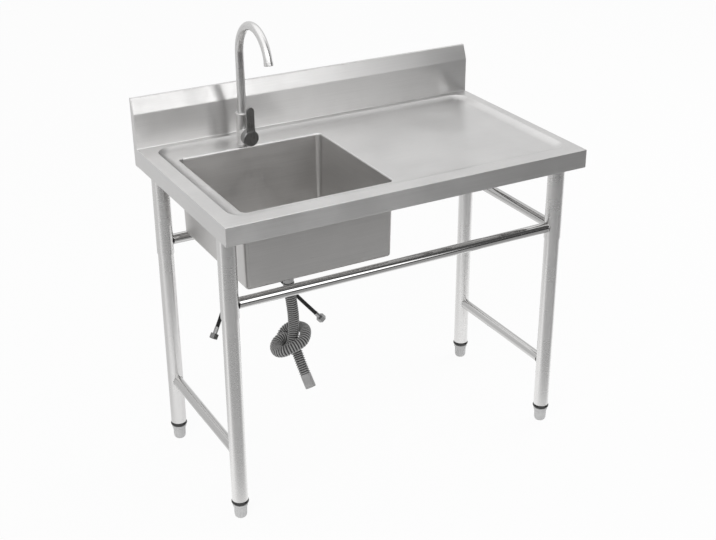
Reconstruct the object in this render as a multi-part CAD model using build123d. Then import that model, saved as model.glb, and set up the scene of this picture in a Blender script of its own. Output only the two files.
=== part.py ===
"""Free-standing stainless kitchen sink unit with one bowl, a drainer and a gooseneck tap.

Frame: millimetres, +Z up, floor at z = 0, +X to the right, front edge at -Y.
The origin is on the floor under the middle of the worktop's length and depth.
"""
from build123d import *
import math
import os

# ---------------------------------------------------------------- driving dimensions
# Worktop sheet
length = 1000.0
worktop_height = 838.0
sheet = 1.2
apron_height = 48.0
apron_lip = 6.0

# Backsplash, measured up from the rim and forward from the rear edge
backsplash_height = 132.0
backsplash_bend = 93.0
backsplash_depth = 24.0
backsplash_ledge = 8.5
backsplash_return = 25.0
end_cap_taper = 6.0

# Pressed recess of the worktop
rim_left = 38.0
rim_right = 23.0
rim_front = 42.0
rim_back = 17.0
recess_slope = 28.0
recess_drop = 8.0
recess_corner = 45.0

# Bowl
bowl_width = 400.0
bowl_length = 395.0
bowl_from_left = 76.0
bowl_from_front = 76.0
bowl_from_back = 119.0
bowl_depth = 200.0
bowl_corner = 14.0
bowl_floor_radius = 12.0
bowl_taper = 1.3
bowl_flange = 6.5

# Legs and rails
leg_from_side = 32.2
leg_from_front = 77.3
leg_from_back = 94.6
sleeve_diameter = 45.0
sleeve_wall = 1.2
leg_diameter = 41.3
leg_wall = 1.2
leg_overlap = 70.0
rail_diameter = 28.0
rail_wall = 1.2
rail_height = 604.0
sleeve_below_rail = 33.0
lower_rail_height = 190.0

# Channels and leg sockets under the worktop
channel_depth = 24.0
middle_channel_width = 60.0
middle_channel_x = 225.0
socket_plate = 3.0
socket_length = 60.0
socket_wall = 3.5
socket_screw_radius = 3.0
socket_screw_head_radius = 5.0
socket_screw_head = 3.5
socket_screw_spread = 10.0
socket_screw_tip = 2.2
leg_screw_radius = 2.0
leg_screw_head_radius = 4.0
leg_screw_head = 2.5
leg_screw_rise = 9.0
leg_screw_reach = 4.5

# Adjustable feet
foot_height = 42.0
foot_collar_radius = 19.5
foot_collar = 6.7
foot_radius = 17.0
foot_waist_radius = 16.2
foot_tip_radius = 12.0
foot_chamfer = 9.0
foot_stem_radius = 5.0
foot_stem_rise = 53.0
insert_ring_diameter = 45.0
insert_ring = 11.0
insert_plug = 30.0

# Drain
drain_rim_radius = 57.0
drain_rim = 2.0
drain_cup_radius = 43.0
drain_cup_depth = 48.0
drain_wall = 1.5
drain_gasket = 3.0
drain_nut_radius = 60.0
drain_nut_height = 12.0
drain_nut_lugs = 8
drain_spigot_radius = 22.0
drain_spigot_length = 30.0
basket_rim_radius = 40.0
basket_radius = 34.0
basket_height = 40.0
basket_holes = 6
basket_hole_circle = 21.0
basket_hole_radius = 4.0
basket_knob_radius = 7.0
hose_nut_radius = 29.0
hose_nut_height = 27.0
hose_nut_lip = 3.3
hose_nut_flutes = 12
tail_flange = 3.0
tail_length = 26.0

# Tap
tap_x = -231.0
tap_from_back = 89.0
tap_base_radius = 17.8
tap_base = 3.0
tap_foot_radius = 15.5
tap_top_radius = 16.8
tap_collar_radius = 17.4
tap_collar = 4.0
tap_body_height = 72.0
boss_radius = 17.0
boss_height = 24.0
boss_reach = 25.0
boss_bore_radius = 14.0
boss_bore_depth = 24.0
dome_radius = 18.5
dome_inner_radius = 16.5
dome_window_radius = 12.5
pivot_ahead = 6.0
cartridge_length = 15.7
spindle_radius = 11.0
spindle_plate = 5.0
spindle_journal_radius = 5.0
spindle_journal = 8.0
fork_gap = 8.4
fork_ear = 2.6
fork_half_height = 5.0
fork_nose = 4.0
pin_radius = 2.0
stem_eye_radius = 4.6
stem_radius = 4.0
hub_radius = 21.5
hub_back = 2.0
hub_front = 23.0
hub_skin = 2.0
paddle_thickness = 6.0
paddle_half_width = 10.5
paddle_root_half_width = 15.0
paddle_length = 83.0
lever_edge = 1.5
spout_diameter = 22.0
spout_wall = 1.5
spout_seat = 30.0
spout_rise = 1070.0
spout_arc_radius = 88.0
spout_arc_angle = 166.0
aerator_diameter = 23.4
aerator_length = 10.5
aerator_bore_radius = 8.0
shank_radius = 14.2
shank_bore_radius = 11.7
shank_length = 63.0
tap_washer_radius = 21.0
tap_washer = 2.0
tap_nut_flats = 36.0
tap_nut_height = 14.0

# Flexible supply hoses, left and right of the tap's middle
supply_diameter = 11.0
supply_spread = 5.8
ferrule_diameter = 12.5
ferrule_length = 22.0
nut_flats = 22.0
nut_height = 14.0
nut_bore_radius = 9.3
nut_bore_depth = 8.0
nut_pocket = 3.5
nut_pocket_radius = 9.8

# Drain hose
hose_diameter = 30.0
hose_root_radius = 13.3
hose_bore_radius = 12.0
hose_ribs = 58
rib_crest_share = 0.42
rib_flank_share = 0.14

# Running fits and seats
running_fit = 0.06
slip_fit = 0.3
screw_clearance = 0.15

# How far a cutting solid runs past the face it cuts through
overcut = 1.0

# ---------------------------------------------------------------- derived places
depth = bowl_from_front + bowl_length + bowl_from_back
front_edge = -depth / 2
rear_edge = depth / 2
splash_face = rear_edge - backsplash_depth
apron_bottom = worktop_height - apron_height
recess_floor = worktop_height - recess_drop
floor_underside = recess_floor - sheet
bowl_x = -length / 2 + bowl_from_left + bowl_width / 2
bowl_y = front_edge + bowl_from_front + bowl_length / 2
bowl_bottom = floor_underside - bowl_depth
bowl_underside = bowl_bottom - sheet
leg_x = length / 2 - leg_from_side
front_leg_y = front_edge + leg_from_front
back_leg_y = rear_edge - leg_from_back
sleeve_radius = sleeve_diameter / 2
sleeve_bottom = rail_height - sleeve_below_rail
leg_radius = leg_diameter / 2
channel_width = sleeve_diameter + 2 * (slip_fit + sheet)
socket_top = floor_underside - sheet
sleeve_top = socket_top - socket_plate
leg_bottom = foot_height + insert_ring
tap_y = rear_edge - tap_from_back
tap_body_bottom = recess_floor + tap_base
tap_body_top = tap_body_bottom + tap_body_height
boss_z = tap_body_bottom + boss_height
boss_face_y = tap_y - boss_reach
pivot_y = boss_face_y - pivot_ahead
spout_bottom = tap_body_top - spout_seat
spout_radius = spout_diameter / 2
spigot_bottom = bowl_bottom - drain_cup_depth - drain_spigot_length
hose_top = spigot_bottom - tail_flange

LEGS = {
    "front_left": (-leg_x, front_leg_y),
    "front_right": (leg_x, front_leg_y),
    "back_left": (-leg_x, back_leg_y),
    "back_right": (leg_x, back_leg_y),
}

# Routes, chosen point by point: each bend is an arc as large as its two runs allow.
drain_route = [
    (bowl_x, bowl_y, hose_top),
    (bowl_x, bowl_y, 492), (-213, -22, 438), (-209, -21, 404), (-210, -18, 373), (-214, -25, 344),
    (-227, -18, 319), (-233, 8, 306), (-226, 35, 314), (-211, 47, 336), (-192, 36, 356), (-177, 13, 362),
    (-174, -14, 368), (-184, -40, 369), (-202, -61, 359), (-228, -64, 352), (-253, -56, 340),
    (-265, -32, 329), (-259, -4, 333), (-236, 10, 344), (-208, 11, 335), (-192, 10, 304),
    (-195, -10, 250), (-180, -50, 206),
]
supply_routes = {
    "left": [
        (tap_x - supply_spread, tap_y, tap_body_bottom),
        (-236.8, 206, 744), (-246, 222, 656), (-264, 252, 573), (-274, 264, 484), (-270, 248, 396),
        (-334, 208, 309),
    ],
    "right": [
        (tap_x + supply_spread, tap_y, tap_body_bottom),
        (-225.2, 206, 744), (-220, 224, 655), (-206, 238, 560), (-170, 231, 456), (-104, 219, 362),
        (-30, 210, 274),
    ],
}

LOW = (Align.CENTER, Align.CENTER, Align.MIN)


# ---------------------------------------------------------------- small helpers
def block(x0, x1, y0, y1, z0, z1):
    """Box between two corners."""
    return Pos((x0 + x1) / 2, (y0 + y1) / 2, (z0 + z1) / 2) * Box(x1 - x0, y1 - y0, z1 - z0)


def post(radius, z0, z1, x=0.0, y=0.0):
    """Upright round bar."""
    return Pos(x, y, z0) * Cylinder(radius, z1 - z0, align=LOW)


def ring(outer, inner, z0, z1, x=0.0, y=0.0):
    """Upright tube or washer."""
    return post(outer, z0, z1, x, y) - post(inner, z0, z1, x, y)


def turned(points, x=0.0, y=0.0):
    """Solid of revolution about an upright axis, from (radius, z) corners."""
    outline = Polyline(*[(r, 0, z) for r, z in points], close=True)
    return Pos(x, y, 0) * revolve(make_face(outline), Axis.Z)


def forward(shape):
    """Lay an upright shape along -Y at the lever's pivot: its z becomes the reach forward."""
    return Pos(tap_x, pivot_y, boss_z) * Rot(90, 0, 0) * shape


def bent_strip(points, thickness):
    """Closed outline of a folded strip: the corners, then the same corners set in to the right."""
    inner = []
    for i, here in enumerate(points):
        sides = []
        for a, b in ((i - 1, i), (i, i + 1)):
            if 0 <= a and b < len(points):
                run = (points[b][0] - points[a][0], points[b][1] - points[a][1])
                size = math.hypot(*run)
                sides.append((run[1] / size, -run[0] / size))
        first, last = sides[0], sides[-1]
        shrink = thickness / (1 + first[0] * last[0] + first[1] * last[1])
        inner.append((here[0] + (first[0] + last[0]) * shrink, here[1] + (first[1] + last[1]) * shrink))
    return points + inner[::-1]


def along_x(points, x0, x1):
    """Solid with the given (y, z) outline between two x positions."""
    outline = Polyline(*[(x0, y, z) for y, z in points], close=True)
    return extrude(make_face(outline), amount=x1 - x0, dir=(1, 0, 0))


def rounded_rectangle(x0, x1, y0, y1, radius, z):
    return Pos((x0 + x1) / 2, (y0 + y1) / 2, z) * RectangleRounded(x1 - x0, y1 - y0, radius)


def arc_path(points):
    """Straight runs joined by tangent arcs; returns the path and the arcs' radii."""
    radii = []
    for before, here, after in zip(points, points[1:], points[2:]):
        run_in = Vector(*here) - Vector(*before)
        run_out = Vector(*after) - Vector(*here)
        turn = math.radians(run_in.get_angle(run_out))
        radii.append(0.45 * min(run_in.length, run_out.length) / math.tan(turn / 2))
    return FilletPolyline(*points, radius=radii), radii


# ---------------------------------------------------------------- worktop
def recess_volume(lower):
    """The pressed recess, from the rim's level less lower down to its floor."""
    x0 = -length / 2 + rim_left
    x1 = length / 2 - rim_right
    y0 = front_edge + rim_front
    y1 = splash_face - rim_back
    slope = recess_slope
    top = rounded_rectangle(x0, x1, y0, y1, recess_corner, worktop_height - lower)
    bottom = rounded_rectangle(
        x0 + slope, x1 - slope, y0 + slope, y1 - slope, recess_corner - slope, recess_floor - lower
    )
    return loft([top, bottom], ruled=True)


def bowl_opening(grow, z0, z1):
    """Rounded prism over the bowl, larger than its opening by grow all round."""
    face = Pos(bowl_x, bowl_y, z0) * RectangleRounded(
        bowl_width + 2 * grow, bowl_length + 2 * grow, bowl_corner + grow
    )
    return extrude(face, amount=z1 - z0)


def worktop():
    """One folded sheet: rim, pressed recess, four aprons with lips, and the backsplash."""
    half = length / 2
    inside = half - sheet
    tray = block(-half, half, front_edge, splash_face, apron_bottom, worktop_height)
    tray -= block(
        -inside, inside, front_edge + sheet, splash_face - sheet, apron_bottom, worktop_height - sheet
    )
    inset = sheet + apron_lip
    lip = block(-half, half, front_edge, splash_face, apron_bottom, apron_bottom + sheet)
    lip -= block(
        -half + inset, half - inset, front_edge + inset, splash_face, apron_bottom, apron_bottom + sheet
    )
    profile = bent_strip(
        [
            (splash_face, worktop_height - sheet),
            (splash_face, worktop_height + backsplash_bend),
            (rear_edge - backsplash_ledge, worktop_height + backsplash_height),
            (rear_edge, worktop_height + backsplash_height),
            (rear_edge, worktop_height + backsplash_height - backsplash_return),
        ],
        sheet,
    )
    splash = along_x(profile, -inside, inside)
    top = tray + lip + recess_volume(sheet) + splash - recess_volume(0)
    low = floor_underside - overcut
    high = recess_floor + overcut
    top -= bowl_opening(0, low, high)
    return top - post(shank_radius + slip_fit, low, high, tap_x, tap_y)


def end_cap(side):
    """Plate that closes one end of the backsplash, flush with the side apron."""
    outline = [
        (splash_face, apron_bottom),
        (splash_face, worktop_height + backsplash_bend),
        (rear_edge - backsplash_ledge, worktop_height + backsplash_height),
        (rear_edge, worktop_height + backsplash_height),
        (rear_edge - end_cap_taper, apron_bottom),
    ]
    inner = side * (length / 2 - sheet)
    outer = side * length / 2
    return along_x(outline, min(inner, outer), max(inner, outer))


def bowl_form(grow, bottom, floor_radius):
    """Tapered bowl volume, grown sideways, from the worktop's underside to the given bottom."""
    mouth = Plane((bowl_x, bowl_y, floor_underside), x_dir=(1, 0, 0), z_dir=(0, 0, -1))
    face = mouth * RectangleRounded(
        bowl_width + 2 * grow, bowl_length + 2 * grow, bowl_corner + grow
    )
    form = extrude(face, amount=floor_underside - bottom, taper=bowl_taper)
    return fillet(form.faces().sort_by(Axis.Z)[0].edges(), floor_radius)


def bowl():
    """Pressed bowl with a welding flange under the worktop and a round drain seat."""
    shell = bowl_form(sheet, bowl_underside, bowl_floor_radius + sheet)
    shell += bowl_opening(sheet + bowl_flange, floor_underside - sheet, floor_underside)
    shell -= bowl_form(0, bowl_bottom, bowl_floor_radius)
    low = bowl_underside - overcut
    return shell - post(drain_cup_radius + slip_fit, low, bowl_bottom + overcut, bowl_x, bowl_y)


# ---------------------------------------------------------------- channels and sockets
def channel(x, width):
    """Inverted channel from the front apron to the rear one, against the recess floor."""
    y0 = front_edge + sheet
    y1 = splash_face - sheet
    z0 = floor_underside - channel_depth
    body = block(x - width / 2, x + width / 2, y0, y1, z0, floor_underside)
    inner = width / 2 - sheet
    return body - block(x - inner, x + inner, y0, y1, z0, socket_top)


def screw_places(x, y):
    return [(x, y - socket_screw_spread), (x, y + socket_screw_spread)]


def leg_channel(side):
    """Channel over the two legs of one side, with the sockets' screw holes."""
    x = side * leg_x
    body = channel(x, channel_width)
    hole = socket_screw_radius + screw_clearance
    for y in (front_leg_y, back_leg_y):
        for px, py in screw_places(x, y):
            body -= post(hole, socket_top - overcut, floor_underside + overcut, px, py)
    return body


def leg_socket(x, y):
    """Flanged spigot that the sleeve slips over."""
    outer = sleeve_radius - sleeve_wall - slip_fit
    body = post(sleeve_radius, sleeve_top, socket_top, x, y)
    body += ring(outer, outer - socket_wall, sleeve_top - socket_length, sleeve_top, x, y)
    hole = socket_screw_radius + screw_clearance
    for px, py in screw_places(x, y):
        body -= post(hole, sleeve_top - overcut, socket_top + overcut, px, py)
    return body


def socket_screws():
    """Eight cap screws up through the sockets' plates."""
    screws = []
    for x, y in LEGS.values():
        for px, py in screw_places(x, y):
            head = post(socket_screw_head_radius, sleeve_top - socket_screw_head, sleeve_top, px, py)
            shaft = post(socket_screw_radius, sleeve_top, floor_underside + socket_screw_tip, px, py)
            screws.append(head + shaft)
    return Compound(children=screws)


# ---------------------------------------------------------------- legs, rails and feet
def cross_hole(radius, x, y, reach):
    """Round bar along +Y from a leg's axis at the leg screw's height."""
    z = sleeve_bottom + leg_screw_rise
    return Pos(x, y, z) * Rot(-90, 0, 0) * Cylinder(radius, reach, align=LOW)


def sleeve(x, y):
    body = ring(sleeve_radius, sleeve_radius - sleeve_wall, sleeve_bottom, sleeve_top, x, y)
    return body - cross_hole(leg_screw_radius + screw_clearance, x, y, sleeve_diameter)


def leg(x, y):
    body = ring(leg_radius, leg_radius - leg_wall, leg_bottom, sleeve_bottom + leg_overlap, x, y)
    return body - cross_hole(leg_screw_radius + screw_clearance, x, y, leg_diameter)


def leg_screws():
    """Four self-tapping screws that hold the legs in their sleeves, on the rear side."""
    screws = []
    for x, y in LEGS.values():
        shaft = cross_hole(leg_screw_radius, x, y, sleeve_radius)
        shaft -= cross_hole(leg_screw_radius + overcut, x, y, sleeve_radius - leg_screw_reach)
        head = cross_hole(leg_screw_head_radius, x, y, sleeve_radius + leg_screw_head)
        head -= cross_hole(leg_screw_head_radius + overcut, x, y, sleeve_radius)
        head -= post(sleeve_radius, sleeve_bottom, sleeve_top, x, y)
        screws.append(shaft + head)
    return Compound(children=screws)


def rail(start, end, z, post_radius):
    """Tube between two uprights, its ends cut to their round sides."""
    run = Vector(end[0] - start[0], end[1] - start[1], 0)
    place = Plane(((start[0] + end[0]) / 2, (start[1] + end[1]) / 2, z), z_dir=run)
    radius = rail_diameter / 2
    body = place * (Cylinder(radius, run.length) - Cylinder(radius - rail_wall, run.length))
    for x, y in (start, end):
        body -= post(post_radius, z - rail_diameter, z + rail_diameter, x, y)
    return body


def leg_insert(x, y):
    """Plastic plug in the tube's end, with the black ring that shows under it."""
    ring_radius = insert_ring_diameter / 2
    edge = insert_ring / 4
    plug_radius = leg_radius - leg_wall - slip_fit
    bore = foot_stem_radius + running_fit
    return turned(
        [
            (bore, foot_height), (ring_radius - edge, foot_height), (ring_radius, foot_height + edge),
            (ring_radius, leg_bottom - edge), (ring_radius - edge, leg_bottom), (plug_radius, leg_bottom),
            (plug_radius, leg_bottom + insert_plug), (bore, leg_bottom + insert_plug),
        ],
        x,
        y,
    )


def foot(x, y):
    """Bullet foot with its collar and threaded stem."""
    top = foot_height - slip_fit
    collar = top - foot_collar
    return turned(
        [
            (0, 0), (foot_tip_radius, 0), (foot_waist_radius, foot_chamfer), (foot_radius, collar),
            (foot_collar_radius, collar), (foot_collar_radius, top), (foot_stem_radius, top),
            (foot_stem_radius, top + foot_stem_rise), (0, top + foot_stem_rise),
        ],
        x,
        y,
    )


# ---------------------------------------------------------------- drain
def drain_flange():
    """Strainer cup hung in the bowl's floor, with its outlet spigot."""
    inner = drain_cup_radius - drain_wall
    cup_bottom = bowl_bottom - drain_cup_depth
    bore = drain_spigot_radius - 3 * drain_wall
    return turned(
        [
            (drain_rim_radius, bowl_bottom), (drain_rim_radius, bowl_bottom + drain_rim),
            (inner, bowl_bottom + drain_rim), (inner, cup_bottom + drain_wall),
            (bore, cup_bottom + drain_wall), (bore, spigot_bottom),
            (drain_spigot_radius, spigot_bottom), (drain_spigot_radius, cup_bottom),
            (drain_cup_radius, cup_bottom), (drain_cup_radius, bowl_bottom),
        ],
        bowl_x,
        bowl_y,
    )


def strainer_basket():
    """Perforated lift-out cup with a knob."""
    base = bowl_bottom - drain_cup_depth + drain_wall + slip_fit
    rim_z = base + basket_height
    wall = drain_wall
    body = turned(
        [
            (basket_rim_radius, rim_z - 3 * wall), (basket_rim_radius, rim_z - 2 * wall),
            (basket_radius - wall, rim_z - 2 * wall), (basket_radius - wall, base + wall),
            (basket_knob_radius / 2, base + wall), (basket_knob_radius / 2, rim_z),
            (basket_knob_radius, rim_z + wall), (basket_knob_radius, rim_z + 3 * wall),
            (0, rim_z + 3 * wall), (0, base), (basket_radius, base), (basket_radius, rim_z - 3 * wall),
        ],
        bowl_x,
        bowl_y,
    )
    for i in range(basket_holes):
        turn = 2 * math.pi * i / basket_holes
        hole_x = bowl_x + basket_hole_circle * math.cos(turn)
        hole_y = bowl_y + basket_hole_circle * math.sin(turn)
        body -= post(basket_hole_radius, base - overcut, base + wall + overcut, hole_x, hole_y)
    return body


def drain_gasket_ring():
    top = bowl_underside
    return ring(drain_rim_radius, drain_cup_radius + slip_fit, top - drain_gasket, top, bowl_x, bowl_y)


def drain_nut():
    """Lock nut with hand lugs, up against the gasket."""
    top = bowl_underside - drain_gasket
    outer = drain_nut_radius
    core = outer - drain_nut_height / 2
    body = post(core, top - drain_nut_height, top, bowl_x, bowl_y)
    for i in range(drain_nut_lugs):
        lug = Box(outer, drain_nut_height, drain_nut_height, align=(Align.MIN, Align.CENTER, Align.MAX))
        body += Pos(bowl_x, bowl_y, top) * Rot(0, 0, 360 * i / drain_nut_lugs) * lug
    return body - post(drain_cup_radius + slip_fit, top - drain_nut_height, top, bowl_x, bowl_y)


def hose_nut():
    """Fluted coupling nut that holds the hose's tail against the spigot."""
    bottom = hose_top - hose_nut_lip
    top = bottom + hose_nut_height
    body = post(hose_nut_radius, bottom, top, bowl_x, bowl_y)
    for i in range(hose_nut_flutes):
        turn = 2 * math.pi * i / hose_nut_flutes
        flute_x = bowl_x + (hose_nut_radius + overcut) * math.cos(turn)
        flute_y = bowl_y + (hose_nut_radius + overcut) * math.sin(turn)
        body -= post(hose_nut_radius / 8, bottom - overcut, top + overcut, flute_x, flute_y)
    body -= post(drain_spigot_radius + slip_fit, hose_top, top + overcut, bowl_x, bowl_y)
    return body - post(hose_diameter / 2 + slip_fit, bottom - overcut, hose_top, bowl_x, bowl_y)


def hose_tail():
    """Flanged tail that the hose's end slips over."""
    outer = hose_bore_radius - slip_fit
    inner = outer - drain_wall
    return turned(
        [
            (inner, hose_top - tail_length), (outer, hose_top - tail_length), (outer, hose_top),
            (drain_spigot_radius, hose_top), (drain_spigot_radius, spigot_bottom), (inner, spigot_bottom),
        ],
        bowl_x,
        bowl_y,
    )


def steady_planes(path, places):
    """Planes square to the path whose X axis never twists about it."""
    planes = []
    side = Vector(1, 0, 0)
    for place in places:
        tangent = path.tangent_at(place, position_mode=PositionMode.LENGTH)
        side = (side - tangent * side.dot(tangent)).normalized()
        centre = path.position_at(place, position_mode=PositionMode.LENGTH)
        planes.append(Plane(centre, x_dir=side, z_dir=tangent))
    return planes


def least_gap(path, diameter):
    """Smallest gap between stretches of the path that lie more than two diameters apart along it."""
    step = diameter / 10
    count = int(path.length / step)
    points = [path.position_at(i / count) for i in range(count + 1)]
    apart = int(2 * diameter / step)
    pairs = ((i, j) for i in range(count + 1) for j in range(i + apart, count + 1))
    return min((points[i] - points[j]).length for i, j in pairs) - diameter


def drain_hose():
    """Corrugated hose with its bore, hanging in one overhand knot."""
    path, radii = arc_path(drain_route)
    span = path.length
    crest = hose_diameter / 2
    cuff = hose_diameter
    pitch = (span - 2 * cuff) / hose_ribs
    marks = [(0.0, hose_root_radius)]
    for i in range(hose_ribs):
        foot_place = cuff + (i + 0.5 - rib_crest_share / 2 - rib_flank_share) * pitch
        marks += [
            (foot_place, hose_root_radius),
            (foot_place + rib_flank_share * pitch, crest),
            (foot_place + (rib_flank_share + rib_crest_share) * pitch, crest),
            (foot_place + (2 * rib_flank_share + rib_crest_share) * pitch, hose_root_radius),
        ]
    marks.append((span, hose_root_radius))
    planes = steady_planes(path, [place for place, _ in marks])
    skin = Solid.make_loft(
        [Wire.make_circle(radius, plane) for plane, (_, radius) in zip(planes, marks)], ruled=True
    )
    bore_planes = [planes[0]] + planes[2:-1:4] + [planes[-1]]
    bore = Solid.make_loft([Wire.make_circle(hose_bore_radius, plane) for plane in bore_planes], ruled=True)
    print(f"drain hose: {span:.0f} mm long, {hose_ribs} ribs, smallest arc {min(radii):.1f} mm,"
          f" least gap to itself {least_gap(path, hose_diameter):.2f} mm")
    return skin - bore


# ---------------------------------------------------------------- tap
def tap_body():
    """Upright body with the spout's socket and the cartridge boss to the front."""
    collar_z = tap_body_top - tap_collar
    body = turned(
        [
            (0, tap_body_bottom), (tap_foot_radius, tap_body_bottom), (tap_top_radius, collar_z),
            (tap_collar_radius, collar_z), (tap_collar_radius, tap_body_top), (0, tap_body_top),
        ],
        tap_x,
        tap_y,
    )
    body += forward(post(boss_radius, -pivot_ahead - boss_reach, -pivot_ahead))
    body -= forward(post(boss_bore_radius, -pivot_ahead - boss_bore_depth, -pivot_ahead))
    return body - post(spout_radius + running_fit, spout_bottom - slip_fit, tap_body_top, tap_x, tap_y)


def tap_base_ring():
    return ring(tap_base_radius, shank_radius + slip_fit, recess_floor, tap_body_bottom, tap_x, tap_y)


def tap_shank():
    """Threaded tube through the worktop; the supply hoses pass up inside it."""
    return ring(shank_radius, shank_bore_radius, tap_body_bottom - shank_length, tap_body_bottom, tap_x, tap_y)


def tap_washer_ring():
    bottom = floor_underside - tap_washer
    return ring(tap_washer_radius, shank_radius + slip_fit, bottom, floor_underside, tap_x, tap_y)


def tap_nut():
    top = floor_underside - tap_washer
    face = Pos(tap_x, tap_y, top - tap_nut_height) * RegularPolygon(
        tap_nut_flats / 2, 6, major_radius=False
    )
    body = extrude(face, amount=tap_nut_height)
    return body - post(shank_radius + slip_fit, top - tap_nut_height, top, tap_x, tap_y)


def cartridge():
    """Sealed valve cartridge at the back of the boss."""
    back = -pivot_ahead - boss_bore_depth + slip_fit
    front = back + cartridge_length
    body = post(boss_bore_radius - slip_fit, back, front)
    body -= post(spindle_journal_radius + running_fit, front - spindle_journal - overcut, front)
    return forward(body)


def cartridge_ring():
    """Round-nosed ring nut that closes the boss; the lever's hub slides over it."""
    window = math.sqrt(dome_radius ** 2 - dome_window_radius ** 2)
    body = Sphere(dome_radius) - Sphere(dome_inner_radius)
    body &= Pos(0, 0, -pivot_ahead) * Box(
        3 * dome_radius, 3 * dome_radius, window + pivot_ahead, align=LOW
    )
    return forward(body - post(dome_window_radius, 0, 2 * dome_radius))


def cartridge_spindle():
    """Turns in the cartridge; its fork and pin carry the lever's stem."""
    front = -pivot_ahead - boss_bore_depth + slip_fit + cartridge_length
    plate = front + slip_fit
    ear = fork_gap / 2
    body = post(spindle_journal_radius, front - spindle_journal, plate)
    body += post(spindle_radius, plate, plate + spindle_plate)
    for side in (-1, 1):
        inner = side * ear
        outer = side * (ear + fork_ear)
        body += block(
            min(inner, outer), max(inner, outer), -fork_half_height, fork_half_height,
            plate + spindle_plate, fork_nose,
        )
    body += Rot(0, 90, 0) * Cylinder(pin_radius, fork_gap + 2 * fork_ear)
    return forward(body)


def lever_stem():
    """Rod with an eye on the fork's pin and its nose in the lever's hub."""
    width = fork_gap - 2 * slip_fit
    eye = Rot(0, 90, 0) * Cylinder(stem_eye_radius, width)
    body = eye + post(stem_radius, 0, hub_front - hub_skin)
    return forward(body - Rot(0, 90, 0) * Cylinder(pin_radius + running_fit, fork_gap))


def lever():
    """Round hub over the ring nut with an upright flat paddle."""
    half = paddle_half_width
    tip = paddle_length - half
    outline = Polyline(
        (-paddle_root_half_width, 0), (-half, hub_radius + half), (-half, tip), (half, tip),
        (half, hub_radius + half), (paddle_root_half_width, 0), close=True,
    )
    flat = make_face(outline) + Pos(0, tip) * Circle(half)
    paddle = extrude(Pos(0, 0, hub_front - paddle_thickness) * flat, amount=paddle_thickness)
    body = post(hub_radius, hub_back, hub_front) + paddle
    body = chamfer(body.faces().sort_by(Axis.Z)[-1].edges(), lever_edge)
    body -= Sphere(dome_radius + 2 * slip_fit)
    return forward(body - post(stem_radius + running_fit, 0, hub_front - hub_skin))


def spout_end():
    """Plane at the spout's end, facing along the outlet."""
    turn = math.radians(spout_arc_angle)
    y = tap_y - spout_arc_radius * (1 - math.cos(turn))
    z = spout_rise + spout_arc_radius * math.sin(turn)
    return Plane((tap_x, y, z), x_dir=(1, 0, 0), z_dir=(0, -math.sin(turn), math.cos(turn)))


def spout():
    """Gooseneck tube that turns in the body's socket."""
    inner = spout_radius - spout_wall
    straight = ring(spout_radius, inner, spout_bottom, spout_rise, tap_x, tap_y)
    section = Pos(tap_x, tap_y, spout_rise) * (Circle(spout_radius) - Circle(inner))
    bend_axis = Axis((tap_x, tap_y - spout_arc_radius, spout_rise), (1, 0, 0))
    return straight + revolve(section, bend_axis, spout_arc_angle)


def aerator():
    """Outlet piece on the spout's end."""
    radius = aerator_diameter / 2
    body = Cylinder(radius, aerator_length, align=LOW)
    body = chamfer(body.edges().sort_by(Axis.Z)[-1], spout_wall / 2)
    return spout_end() * (body - Cylinder(aerator_bore_radius, aerator_length, align=LOW))


# ---------------------------------------------------------------- supply hoses
def supply_end(side):
    """Plane at a supply hose's free end, facing along it."""
    last = Vector(*supply_routes[side][-1])
    return Plane(last, z_dir=last - Vector(*supply_routes[side][-2]))


def supply_hose(side):
    path, radii = arc_path(supply_routes[side])
    start = Plane(path @ 0, z_dir=path % 0)
    hose = sweep(start * Circle(supply_diameter / 2), path=path)
    share = hose.volume / (math.pi * supply_diameter ** 2 / 4 * path.length)
    print(f"{side} supply hose: {path.length:.0f} mm long, smallest arc {min(radii):.0f} mm,"
          f" volume {share:.4f} of section times length")
    return hose


def supply_ferrule(side):
    """Crimped sleeve with the flange that the union nut draws up."""
    flange = nut_pocket - slip_fit
    body = Cylinder(ferrule_diameter / 2, ferrule_length, align=LOW)
    body += Pos(0, 0, ferrule_length) * Cylinder(nut_bore_radius - slip_fit, flange, align=LOW)
    return supply_end(side) * body


def supply_nut(side):
    """Hexagon union nut: a shoulder behind the ferrule's flange, its pocket and the threaded bore."""
    bore_from = nut_height - nut_bore_depth
    shoulder = bore_from - nut_pocket
    body = extrude(RegularPolygon(nut_flats / 2, 6, major_radius=False), amount=nut_height)
    body -= Cylinder(ferrule_diameter / 2 + slip_fit, shoulder, align=LOW)
    body -= Pos(0, 0, shoulder) * Cylinder(nut_pocket_radius, nut_pocket, align=LOW)
    body -= Pos(0, 0, bore_from) * Cylinder(nut_bore_radius, nut_bore_depth, align=LOW)
    return supply_end(side) * (Pos(0, 0, ferrule_length - shoulder) * body)


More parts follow.
